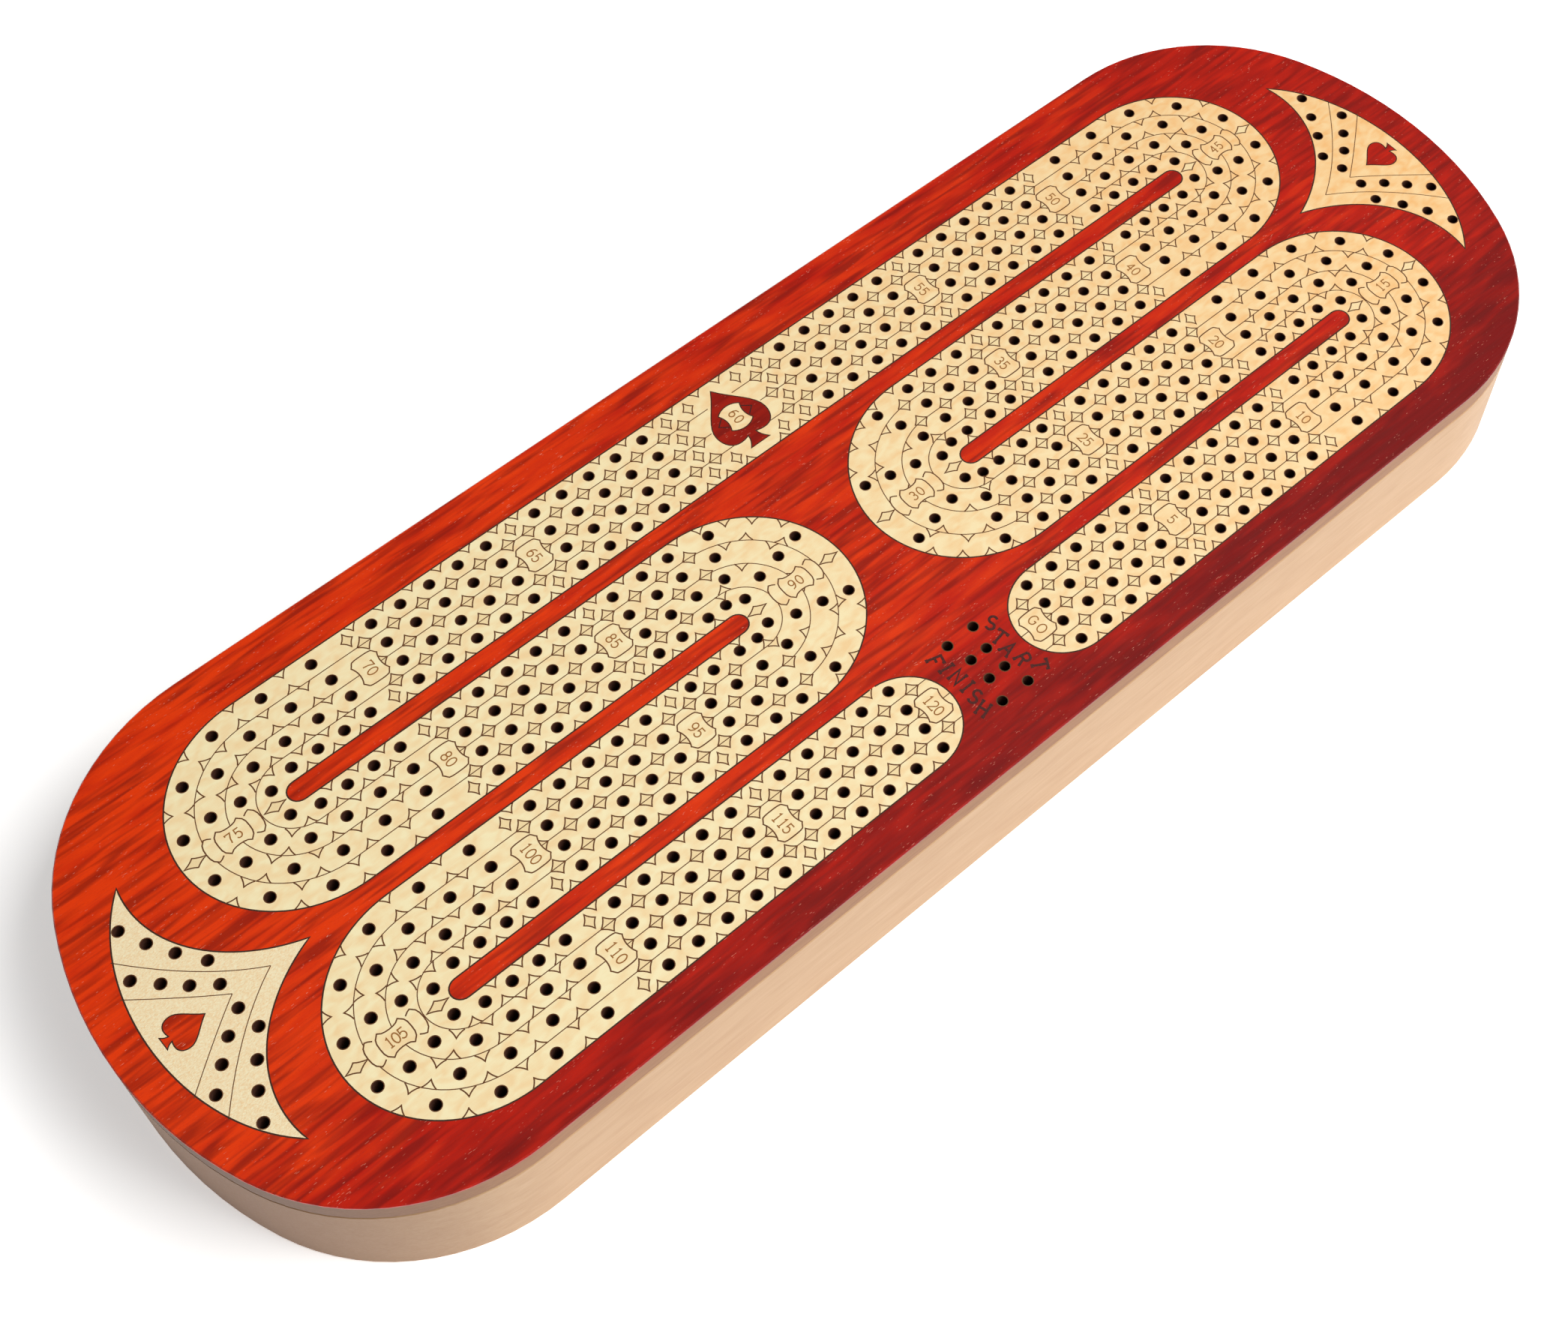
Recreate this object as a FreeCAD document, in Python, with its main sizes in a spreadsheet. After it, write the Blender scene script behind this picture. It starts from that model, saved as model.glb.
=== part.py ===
import FreeCAD, Part
import math
import os
from FreeCAD import Vector

# A four-track cribbage board that is also a box. A thin lid, faced with bloodwood and maple
# inlay, swivels on a shoulder screw near its right end and uncovers wells for cards and pegs.
# The row frame: +X along the board towards the numbers 15 and 45, +Y towards the lane of
# 50 to 70, +Z up, origin at the middle of the underside. Millimetres.

doc = FreeCAD.newDocument("CribbageBoard")
sheet = doc.addObject("Spreadsheet::Sheet", "Dimensions")

dimensions = {
    # outline, shared by the box, the lid and its face
    "board_length": 381.0,
    "board_width": 133.4,
    "end_radius": 90.0,
    "corner_radius": 52.0,
    # heights of the layers
    "body_height": 30.3,
    "seam_gap": 0.3,
    "lid_thickness": 5.6,
    "face_thickness": 0.8,
    "edge_ease": 0.3,
    "foot_round": 0.8,
    # peg holes and the lanes they run in
    "hole_diameter": 2.4,
    "hole_depth": 5.4,
    "peg_pitch": 7.68,
    "track_pitch": 6.0,
    "lane_pitch": 29.0,
    "field_shift": -1.1,
    "first_hole_x": 20.6,
    "group_pitch": 44.1,
    # the turns at the ends, the turns at the middle and the two open ends of the track
    "turn_x": 129.6,
    "turn_stretch": 1.067,
    "turn_start_x": 104.6,
    "divider_width": 5.0,
    "middle_turn_x": 33.5,
    "middle_divider_x": 34.9,
    "label_line_x": 57.97,
    "cap_x": 23.4,
    # the crescent inlays at the ends
    "crescent_half_width": 34.6,
    "crescent_back_pole_x": 187.25,
    "crescent_back_pole_y": 18.2,
    "crescent_hollow_length": 40.9,
    "crescent_hollow_width": 31.8,
    # spades and the number plate
    "big_spade_height": 18.6,
    "big_spade_width": 14.4,
    "big_spade_base_y": 34.4,
    "small_spade_height": 9.5,
    "small_spade_width": 8.2,
    "small_spade_base_x": 180.4,
    "plate_width": 6.3,
    "plate_height": 7.5,
    "plate_y": 43.6,
    # wells routed into the box
    "well_depth": 21.0,
    "well_corner": 4.0,
    "card_well_length": 66.0,
    "card_well_width": 92.0,
    "left_well_x": -118.0,
    "right_well_x": -42.0,
    "peg_well_x": 34.0,
    "scoop_radius": 11.0,
    # pegs
    "peg_shaft_length": 12.0,
    "peg_tip_radius": 0.9,
    "peg_shaft_radius": 1.1,
    "peg_head_length": 11.0,
    "peg_neck_radius": 1.5,
    "peg_head_radius": 2.2,
    "peg_collar_height": 1.0,
    "peg_socket_depth": 6.0,
    "peg_row_y": 22.0,
    "peg_spacing": 11.0,
    # swivel
    "pivot_x": 151.5,
    "pivot_radius": 3.0,
    "pivot_bore_radius": 3.1,
    "head_radius": 5.0,
    "head_height": 3.2,
    "head_recess_radius": 6.0,
    "head_recess_depth": 5.0,
    "socket_radius": 1.7,
    "socket_depth": 1.8,
    "tension_washer_height": 1.0,
    "thread_radius": 2.45,
    "thread_length": 4.6,
    "insert_radius": 4.0,
    "insert_bore_radius": 2.5,
    "insert_length": 5.0,
    "washer_radius": 8.0,
    # magnets
    "magnet_radius": 4.0,
    "magnet_height": 2.5,
    "magnet_x": -163.0,
    "magnet_y": 44.0,
}

for row, (alias, value) in enumerate(dimensions.items(), start=1):
    sheet.set(f"A{row}", alias)
    sheet.set(f"B{row}", str(value))
    sheet.setAlias(f"B{row}", alias)
doc.recompute()


def size(alias):
    return float(sheet.get(alias))


tracks = 4
holes_per_group = 5
up = Vector(0, 0, 1)
lane_heights = [size("field_shift") + size("lane_pitch") * step for step in (-1.5, -0.5, 0.5, 1.5)]
lane_half = tracks * size("track_pitch") / 2
divider_half = size("divider_width") / 2
# how far the last cell of each track, inner to outer, stops short of the top of an end turn
turn_gaps = [0.7, 1.95, 1.9, -0.2]
# distances from the label line to the first hole, then hole to hole, round a middle turn
middle_steps = [
    [5.6, 6.4, 7.3, 5.0, 4.5],
    [6.4, 7.2, 7.2, 7.4, 8.0],
    [6.6, 7.8, 7.0, 8.7, 14.5],
    [6.6, 8.2, 7.3, 10.4, 20.2],
]


# ---- curves -------------------------------------------------------------------------------

def line(start, end):
    return Part.LineSegment(Vector(*start, 0), Vector(*end, 0))


def ellipse_arc(centre, half_length, half_width, start_degrees, end_degrees):
    """An arc of an ellipse whose long half is along X, from one parameter angle up to another."""
    x, y = centre
    ellipse = Part.Ellipse(Vector(x + half_length, y, 0), Vector(x, y + half_width, 0), Vector(x, y, 0))
    return Part.ArcOfEllipse(ellipse, math.radians(start_degrees), math.radians(end_degrees))


def bend(centre, radius, side):
    """Half of a stretched circle: side 1 bulges to the right, side -1 to the left."""
    start = -90 if side > 0 else 90
    return ellipse_arc(centre, radius * size("turn_stretch"), radius, start, start + 180)


def arc_through(start, middle, end):
    return Part.Arc(Vector(*start, 0), Vector(*middle, 0), Vector(*end, 0))


def circle(centre, radius):
    return Part.Circle(Vector(*centre, 0), up, radius)


def bezier(*points):
    curve = Part.BezierCurve()
    curve.setPoles([Vector(*point, 0) for point in points])
    return curve.toBSpline()


def board_outline():
    """Straight sides, tight corner arcs and a slow arc over each end, all tangent."""
    half_width = size("board_width") / 2
    end, corner = size("end_radius"), size("corner_radius")
    end_centre = size("board_length") / 2 - end
    corner_y = half_width - corner
    corner_x = end_centre + math.sqrt((end - corner) ** 2 - corner_y ** 2)
    slope = math.atan2(corner_y, corner_x - end_centre)
    join = (end_centre + end * math.cos(slope), end * math.sin(slope))
    middle = (slope + math.pi / 2) / 2
    bulge = (corner_x + corner * math.cos(middle), corner_y + corner * math.sin(middle))
    curves = []
    for x, y in ((1, 1), (-1, -1)):
        curves.append(line((-x * corner_x, y * half_width), (x * corner_x, y * half_width)))
        curves.append(arc_through((x * corner_x, y * half_width), (x * bulge[0], y * bulge[1]),
                                  (x * join[0], y * join[1])))
        curves.append(arc_through((x * join[0], y * join[1]), (x * (end_centre + end), 0),
                                  (x * join[0], -y * join[1])))
        curves.append(arc_through((x * join[0], -y * join[1]), (x * bulge[0], -y * bulge[1]),
                                  (x * corner_x, -y * half_width)))
    return curves


def track_outline():
    """The single ribbon of maple that winds from GO to 120, through seven straight runs and six turns."""
    low, below, above, high = lane_heights
    turn, middle, slot = size("turn_x"), size("middle_turn_x"), size("middle_divider_x")
    cap = size("cap_x")
    wide = size("lane_pitch") / 2 + lane_half
    near, centre, far = (low + below) / 2, (below + above) / 2, (above + high) / 2
    curves = []
    for side in (1, -1):
        curves += [
            bend((side * cap, low), lane_half, -side),
            line((side * cap, low - lane_half), (side * turn, low - lane_half)),
            bend((side * turn, near), wide, side),
            line((side * turn, below + lane_half), (side * slot, below + lane_half)),
            bend((side * slot, centre), divider_half, -side),
            line((side * slot, above - lane_half), (side * turn, above - lane_half)),
            bend((side * turn, far), wide, side),
            line((side * turn, above + lane_half), (side * middle, above + lane_half)),
            bend((side * middle, centre), wide, -side),
            line((side * middle, below - lane_half), (side * turn, below - lane_half)),
            bend((side * turn, near), divider_half, side),
            line((side * turn, low + lane_half), (side * cap, low + lane_half)),
            bend((side * turn, far), divider_half, side),
        ]
    curves.append(line((-turn, high + lane_half), (turn, high + lane_half)))
    curves.append(line((-turn, high - lane_half), (turn, high - lane_half)))
    return curves


def crescent_outline(side):
    """Two hollow edges that follow the end turns and one round back that follows the end."""
    y = size("field_shift")
    half = size("crescent_half_width")
    long_half, wide_half = size("crescent_hollow_length"), size("crescent_hollow_width")
    turn, lane = side * size("turn_x"), size("lane_pitch")
    rise = math.degrees(math.asin((half - lane) / wide_half))
    fall = math.degrees(math.asin(lane / wide_half))
    tip_x = turn + side * long_half * math.cos(math.radians(rise))
    pole_x, pole_y = side * size("crescent_back_pole_x"), size("crescent_back_pole_y")
    back = bezier((tip_x, y - half), (pole_x, y - pole_y), (pole_x, y + pole_y), (tip_x, y + half))
    if side > 0:
        upper = ellipse_arc((turn, y + lane), long_half, wide_half, -fall, rise)
        lower = ellipse_arc((turn, y - lane), long_half, wide_half, -rise, fall)
    else:
        upper = ellipse_arc((turn, y + lane), long_half, wide_half, 180 - rise, 180 + fall)
        lower = ellipse_arc((turn, y - lane), long_half, wide_half, 180 - fall, 180 + rise)
    return [back, upper, lower]


def spade_outline(base, height, width, turn_degrees):
    """A spade standing on base with its tip up, then turned about the middle of its base."""
    half = width / 2
    cosine, sine = math.cos(math.radians(turn_degrees)), math.sin(math.radians(turn_degrees))

    def place(x, y):
        return (base[0] + x * cosine - y * sine, base[1] + x * sine + y * cosine)

    curves = []
    for mirror in (1, -1):
        stem_foot = place(mirror * 0.38 * half, 0)
        stem_top = place(mirror * 0.16 * half, 0.17 * height)
        lobe_foot = place(mirror * 0.5 * half, 0.145 * height)
        lobe_side = place(mirror * half, 0.39 * height)
        tip = place(0, height)
        curves += [
            bezier(stem_foot, place(mirror * 0.18 * half, 0.08 * height), stem_top),
            bezier(stem_top, place(mirror * 0.3 * half, 0.145 * height), lobe_foot),
            bezier(lobe_foot, place(mirror * 0.8 * half, 0.145 * height),
                   place(mirror * half, 0.24 * height), lobe_side),
            bezier(lobe_side, place(mirror * half, 0.58 * height),
                   place(mirror * 0.42 * half, 0.74 * height), tip),
        ]
    curves.append(line(place(-0.38 * half, 0), place(0.38 * half, 0)))
    return curves


def big_spade():
    base = (0, size("big_spade_base_y") + size("field_shift"))
    return spade_outline(base, size("big_spade_height"), size("big_spade_width"), 0)


def small_spade():
    base = (size("small_spade_base_x"), size("field_shift"))
    return spade_outline(base, size("small_spade_height"), size("small_spade_width"), 90)


def plate_outline():
    """The number plate: crowned top and bottom, hollow sides."""
    x, y = size("plate_width") / 2, size("plate_height") / 2
    middle = size("plate_y") + size("field_shift")
    shoulder, waist = 0.68 * y, 0.8 * x
    top, bottom = middle + shoulder, middle - shoulder
    return [
        arc_through((-x, top), (0, middle + y), (x, top)),
        arc_through((x, top), (waist, middle), (x, bottom)),
        arc_through((x, bottom), (0, middle - y), (-x, bottom)),
        arc_through((-x, bottom), (-waist, middle), (-x, top)),
    ]


def rounded_rectangle(centre_x, length, width, radius):
    x, y = length / 2, width / 2
    sweep = radius * (1 - math.sqrt(0.5))
    corners = [(1, 1), (-1, 1), (-1, -1), (1, -1)]
    curves = []
    for index, (sx, sy) in enumerate(corners):
        across = (centre_x + sx * x, sy * (y - radius))
        along = (centre_x + sx * (x - radius), sy * y)
        start, end = (across, along) if sx == sy else (along, across)
        curves.append(arc_through(start, (centre_x + sx * (x - sweep), sy * (y - sweep)), end))
        next_sx, next_sy = corners[(index + 1) % 4]
        if sx == sy:
            curves.append(line(end, (centre_x + next_sx * (x - radius), next_sy * y)))
        else:
            curves.append(line(end, (centre_x + next_sx * x, next_sy * (y - radius))))
    return curves


# ---- places of the holes ------------------------------------------------------------------

def quarter_turn(radius):
    return radius * (1 + size("turn_stretch")) / 2 * math.pi / 2


def on_turn(turn_x, radius, distance):
    """A point on a track, measured back along it from the top of the turn: x out, y up."""
    quarter = quarter_turn(radius)
    if distance > quarter:
        return turn_x - (distance - quarter), radius
    angle = distance / quarter * math.pi / 2
    return turn_x + radius * size("turn_stretch") * math.cos(angle), radius * math.sin(angle)


def turn_radii():
    inner = (size("divider_width") + size("track_pitch")) / 2
    return [inner + size("track_pitch") * index for index in range(tracks)]


def track_holes():
    """All 480 holes of the four tracks, mirrored left to right."""
    right = []
    rows = [lane_half - size("track_pitch") * (index + 0.5) for index in range(tracks)]
    low, below, above, high = lane_heights
    groups = [(low, 0), (low, 1), (below, 1), (above, 1), (high, 0), (high, 1)]
    for lane, group in groups:
        start = size("first_hole_x") + group * size("group_pitch")
        for step in range(holes_per_group):
            right += [(start + step * size("peg_pitch"), lane + row) for row in rows]
    for radius, gap in zip(turn_radii(), turn_gaps):
        reach = quarter_turn(radius) + size("turn_x") - size("turn_start_x")
        cell = (reach - gap) / holes_per_group
        for step in range(holes_per_group):
            x, y = on_turn(size("turn_x"), radius, reach - (step + 0.5) * cell)
            for middle in ((low + below) / 2, (above + high) / 2):
                right += [(x, middle + y), (x, middle - y)]
    for radius, steps in zip(turn_radii(), middle_steps):
        distance = quarter_turn(radius) + size("label_line_x") - size("middle_turn_x")
        for step in steps:
            distance -= step
            x, y = on_turn(-size("middle_turn_x"), radius, distance)
            middle = (below + above) / 2
            right += [(-x, middle + y), (-x, middle - y)]
    return right + [(-x, y) for x, y in right]


def crescent_holes():
    """Game counters of the right crescent: two rows of four on each arm."""
    outer = [(164.4, 9.2), (168.4, 14.8), (171.7, 20.3), (174.5, 26.3)]
    inner = [(165.3, 3.3), (170.0, 7.0), (174.1, 11.1), (178.3, 15.6)]
    shift = size("field_shift")
    return [(x, shift + arm * y) for x, y in outer + inner for arm in (1, -1)]


def start_finish_holes():
    """Two bowed columns of four between the GO end and the 120 end."""
    low = lane_heights[0]
    holes = []
    for side, middle, bow in ((1, 0.6, 3.7), (-1, 0.6, 3.9)):
        for row, flare in ((-1.5, 1), (-0.5, 0), (0.5, 0), (1.5, 1)):
            x = middle + side * (2.3 + flare * (bow - 2.3))
            holes.append((x, low + row * size("track_pitch")))
    return holes


# ---- features -----------------------------------------------------------------------------

def add_body(name, lift=None):
    body = doc.addObject("PartDesign::Body", name)
    body.Label = name
    if lift:
        body.setExpression("Placement.Base.z", lift)
    return body


def add_sketch(body, name, curves, lift=None):
    sketch = body.newObject("Sketcher::SketchObject", name)
    ground = [item for item in body.Origin.OriginFeatures if item.Role == "XY_Plane"][0]
    sketch.AttachmentSupport = [(ground, "")]
    sketch.MapMode = "FlatFace"
    if lift:
        sketch.setExpression("AttachmentOffset.Base.z", lift)
    sketch.addGeometry(curves, False)
    return sketch


def add_pad(body, name, curves, length):
    pad = body.newObject("PartDesign::Pad", name)
    pad.Profile = add_sketch(body, name + "Sketch", curves)
    pad.setExpression("Length", length)
    doc.recompute()
    return pad


def add_pocket(body, name, curves, depth, lift=None, upward=False):
    before = body.Shape.Volume
    sketch = add_sketch(body, name + "Sketch", curves, lift)
    pocket = body.newObject("PartDesign::Pocket", name)
    pocket.Profile = sketch
    pocket.Reversed = upward
    pocket.setExpression("Length", depth)
    doc.recompute()
    if body.Shape.Volume >= before:
        raise RuntimeError(name + " removed nothing")
    return pocket


def rim_edges(shape, height):
    """Names of the outline's edges at one height: all their ends lie outside the wells."""
    names = []
    for index, edge in enumerate(shape.Edges, start=1):
        ends = [vertex.Point for vertex in edge.Vertexes]
        level = all(abs(point.z - height) < 0.01 for point in ends)
        outside = all(abs(point.y) > 60 or abs(point.x) > 180 for point in ends)
        if level and outside and edge.Length > 40:
            names.append(f"Edge{index}")
    return names


def ease_rim(body, kind, name, height, ease):
    base = body.Tip
    feature = body.newObject("PartDesign::" + kind, name)
    feature.Base = (base, rim_edges(base.Shape, height))
    feature.setExpression("Radius" if kind == "Fillet" else "Size", ease)
    doc.recompute()
    return feature


def cylinder(name, radius, height, place):
    solid = doc.addObject("Part::Cylinder", name)
    solid.setExpression("Radius", radius)
    solid.setExpression("Height", height)
    return put(solid, place)


def cone(name, low_radius, high_radius, height, place):
    solid = doc.addObject("Part::Cone", name)
    solid.setExpression("Radius1", low_radius)
    solid.setExpression("Radius2", high_radius)
    solid.setExpression("Height", height)
    return put(solid, place)


def put(item, place):
    for axis, expression in zip("xyz", place):
        item.setExpression("Placement.Base." + axis, expression)
    return item


def cut(name, base, tool):
    result = doc.addObject("Part::Cut", name)
    result.Base = base
    result.Tool = tool
    result.Label = name
    return result


def fuse(name, *pieces):
    result = doc.addObject("Part::MultiFuse", name)
    result.Shapes = list(pieces)
    result.Label = name
    return result


def group(name, pieces):
    result = doc.addObject("Part::Compound", name)
    result.Links = pieces
    result.Label = name
    return result


def dim(alias):
    return "Dimensions." + alias


lid_base = f"{dim('body_height')} + {dim('seam_gap')}"
face_base = f"{lid_base} + {dim('lid_thickness')}"


# ---- wooden parts -------------------------------------------------------------------------

def make_box_body():
    """The maple box: two card wells with thumb scoops, a peg well with a rack, magnets' seats."""
    body = add_body("box_body")
    add_pad(body, "BoxBlank", board_outline(), dim("body_height"))
    ease_rim(body, "Fillet", "FootRound", 0, dim("foot_round"))
    ease_rim(body, "Chamfer", "SeamEaseBelow", size("body_height"), dim("edge_ease"))
    length, width = size("card_well_length"), size("card_well_width")
    corner = size("well_corner")
    top = dim("body_height")
    wells = (("LeftWell", "left_well_x"), ("RightWell", "right_well_x"), ("PegWell", "peg_well_x"))
    for name, x in wells:
        outline = rounded_rectangle(size(x), length, width, corner)
        add_pocket(body, name, outline, dim("well_depth"), top)
    for name, x in (("LeftScoop", "left_well_x"), ("RightScoop", "right_well_x")):
        scoop = [circle((size(x), -width / 2), size("scoop_radius"))]
        add_pocket(body, name, scoop, dim("well_depth"), top)
    sockets = [circle(place, size("hole_diameter") / 2) for place in peg_places()]
    add_pocket(body, "PegRack", sockets, dim("peg_socket_depth"), f"{top} - {dim('well_depth')}")
    seats = [circle(place, size("magnet_radius")) for place in magnet_places()]
    add_pocket(body, "BoxMagnetSeats", seats, dim("magnet_height"), top)
    axis = (size("pivot_x"), 0)
    add_pocket(body, "PivotBore", [circle(axis, size("pivot_bore_radius"))], top, top)
    recess = [circle(axis, size("head_recess_radius"))]
    add_pocket(body, "HeadRecess", recess, dim("head_recess_depth"), upward=True)
    return body


def make_lid_board():
    """The maple lid board: 520 blind peg holes, a seat for the insert and seats for magnets."""
    body = add_body("lid_board", lid_base)
    add_pad(body, "LidBlank", board_outline(), dim("lid_thickness"))
    ease_rim(body, "Chamfer", "SeamEaseAbove", 0, dim("edge_ease"))
    seats = [circle(place, size("magnet_radius")) for place in magnet_places()]
    add_pocket(body, "LidMagnetSeats", seats, dim("magnet_height"), upward=True)
    insert_seat = [circle((size("pivot_x"), 0), size("insert_radius"))]
    add_pocket(body, "InsertSeat", insert_seat, dim("insert_length"), upward=True)
    counters = crescent_holes()
    places = track_holes() + start_finish_holes() + counters + [(-x, y) for x, y in counters]
    holes = [circle(place, size("hole_diameter") / 2) for place in places]
    depth = f"{dim('hole_depth')} - {dim('face_thickness')}"
    add_pocket(body, "PegHoles", holes, depth, dim("lid_thickness"))
    return body


def make_inlay(name, *outlines, holes=()):
    """One piece of the face: the first outline, less the others, less its holes."""
    body = add_body(name, face_base)
    curves = [curve for outline in outlines for curve in outline]
    curves += [circle(place, size("hole_diameter") / 2) for place in holes]
    add_pad(body, name + "_sheet", curves, dim("face_thickness"))
    return body


def mirrored(name, source):
    copy = doc.addObject("Part::Mirroring", name)
    copy.Source = source
    copy.Normal = Vector(1, 0, 0)
    copy.Label = name
    return copy


def make_face():
    """The bloodwood sheet, the maple let into it, and the bloodwood spades let into the maple."""
    bloodwood = make_inlay("bloodwood_face", board_outline(), track_outline(),
                           crescent_outline(1), crescent_outline(-1), holes=start_finish_holes())
    ease_rim(bloodwood, "Chamfer", "FaceEase", size("face_thickness"), dim("edge_ease"))
    track = make_inlay("track_inlay", track_outline(), big_spade(), holes=track_holes())
    crescent = make_inlay("right_crescent", crescent_outline(1), small_spade(), holes=crescent_holes())
    spade = make_inlay("right_spade", small_spade())
    return [
        bloodwood,
        track,
        crescent,
        spade,
        mirrored("left_crescent", crescent),
        mirrored("left_spade", spade),
        make_inlay("sixty_spade", big_spade(), plate_outline()),
        make_inlay("sixty_plate", plate_outline()),
    ]


# ---- pegs, magnets and the swivel ---------------------------------------------------------

peg_colours = ["brass", "steel", "copper", "black"]
pegs_per_colour = 3


def peg_places():
    """Where the pegs stand in the well: one row for each colour."""
    places = []
    for colour in range(len(peg_colours)):
        for number in range(pegs_per_colour):
            x = size("peg_well_x") + (colour - 1.5) * 1.25 * size("peg_spacing")
            places.append((x, size("peg_row_y") + (number - 0.5) * size("peg_spacing")))
    return places


def magnet_places():
    return [(size("magnet_x"), side * size("magnet_y")) for side in (1, -1)]


def make_pegs():
    rack_floor = f"{dim('body_height')} - {dim('well_depth')} - {dim('peg_socket_depth')}"
    collar_base = f"{rack_floor} + {dim('peg_shaft_length')}"
    head_base = f"{collar_base} + {dim('peg_collar_height')}"
    places = peg_places()
    racks = []
    for number, colour in enumerate(peg_colours):
        pegs = []
        for index, (x, y) in enumerate(places[number * pegs_per_colour:(number + 1) * pegs_per_colour]):
            tag = f"{colour}{index}"
            spot = (str(x), str(y))
            shaft = cone("Shaft_" + tag, dim("peg_tip_radius"), dim("peg_shaft_radius"),
                         dim("peg_shaft_length"), (*spot, rack_floor))
            collar = cylinder("Collar_" + tag, dim("peg_head_radius"), dim("peg_collar_height"),
                              (*spot, collar_base))
            head = cone("Head_" + tag, dim("peg_neck_radius"), dim("peg_head_radius"),
                        f"{dim('peg_head_length')} - {dim('peg_collar_height')}", (*spot, head_base))
            pegs.append(fuse("Peg_" + tag, shaft, collar, head))
        racks.append(group("pegs_" + colour, pegs))
    return racks


def make_magnets():
    groups = []
    for word, base in (("box", f"{dim('body_height')} - {dim('magnet_height')}"), ("lid", lid_base)):
        discs = []
        for number, (x, y) in enumerate(magnet_places()):
            disc = cylinder(f"{word}_disc_{number}", dim("magnet_radius"), dim("magnet_height"),
                            (str(x), str(y), base))
            discs.append(disc)
        groups.append(group(word + "_magnets", discs))
    return groups


def ring(name, radius, bore, height, base):
    place = (dim("pivot_x"), "0", base)
    outside = cylinder(name + "_disc", radius, height, place)
    inside = cylinder(name + "_bore", bore, height, place)
    return cut(name, outside, inside)


def make_swivel():
    """Shoulder screw up through the box into a threaded insert, with a washer at each end."""
    recess_floor = dim("head_recess_depth")
    head_top = f"{recess_floor} - {dim('tension_washer_height')}"
    head_base = f"{head_top} - {dim('head_height')}"
    x = dim("pivot_x")
    head = cylinder("ScrewHead", dim("head_radius"), dim("head_height"), (x, "0", head_base))
    shoulder = cylinder("ScrewShoulder", dim("pivot_radius"), f"{lid_base} - ({head_top})",
                        (x, "0", head_top))
    thread = cylinder("ScrewThread", dim("thread_radius"), dim("thread_length"), (x, "0", lid_base))
    socket = doc.addObject("Part::Prism", "ScrewSocket")
    socket.Polygon = 6
    socket.setExpression("Circumradius", dim("socket_radius"))
    socket.setExpression("Height", dim("socket_depth"))
    put(socket, (x, "0", head_base))
    return [
        cut("pivot_screw", fuse("ScrewBlank", head, shoulder, thread), socket),
        ring("pivot_insert", dim("insert_radius"), dim("insert_bore_radius"),
             dim("insert_length"), lid_base),
        ring("pivot_washer", dim("washer_radius"), dim("pivot_bore_radius"),
             dim("seam_gap"), dim("body_height")),
        ring("tension_washer", dim("head_radius"), dim("pivot_bore_radius"),
             dim("tension_washer_height"), head_top),
    ]


nodes = [make_box_body(), make_lid_board()] + make_face() + make_pegs() + make_magnets() + make_swivel()
doc.recompute()

for item in doc.Objects:
    if "Invalid" in item.State or "Error" in item.State:
        raise RuntimeError(f"{item.Name} did not recompute: {item.State}")

os.makedirs("parts", exist_ok=True)
for node in nodes:
    shape = node.Shape
    if shape.isNull() or not shape.isValid():
        raise RuntimeError(node.Label + " has no valid shape")
    shape.exportStep(f"parts/{node.Label}.step")
    box = shape.BoundBox
    print(f"{node.Label}: {len(shape.Solids)} solids, {shape.Volume:.1f} mm3, "
          f"z {box.ZMin:.2f} to {box.ZMax:.2f}, x {box.XMin:.1f} to {box.XMax:.1f}")
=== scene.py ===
import math

import bpy
from mathutils import Matrix, Vector


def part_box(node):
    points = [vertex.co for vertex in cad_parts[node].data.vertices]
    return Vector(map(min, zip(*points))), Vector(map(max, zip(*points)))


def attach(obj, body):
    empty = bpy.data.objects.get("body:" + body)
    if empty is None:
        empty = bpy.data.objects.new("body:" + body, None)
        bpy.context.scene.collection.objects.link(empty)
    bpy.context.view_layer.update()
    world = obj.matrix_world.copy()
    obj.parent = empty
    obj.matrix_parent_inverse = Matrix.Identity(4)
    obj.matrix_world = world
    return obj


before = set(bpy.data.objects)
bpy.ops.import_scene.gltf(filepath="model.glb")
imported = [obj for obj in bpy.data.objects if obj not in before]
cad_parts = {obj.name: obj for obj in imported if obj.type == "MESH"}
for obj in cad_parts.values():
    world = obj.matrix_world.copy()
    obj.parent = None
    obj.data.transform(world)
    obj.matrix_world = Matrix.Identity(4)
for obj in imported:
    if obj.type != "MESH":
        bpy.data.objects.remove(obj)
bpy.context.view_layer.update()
mm = 0.001
print("frame loaded")


def linear(hexColour):
    parts = [int(hexColour[i:i + 2], 16) / 255 for i in (1, 3, 5)]
    parts = [c / 12.92 if c <= 0.04045 else ((c + 0.055) / 1.055) ** 2.4 for c in parts]
    return (*parts, 1.0)


def perMm(*lengths):
    # mapping scale that makes one unit of a pattern this many millimetres long on each axis
    return tuple(1000 / length for length in lengths)


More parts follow.
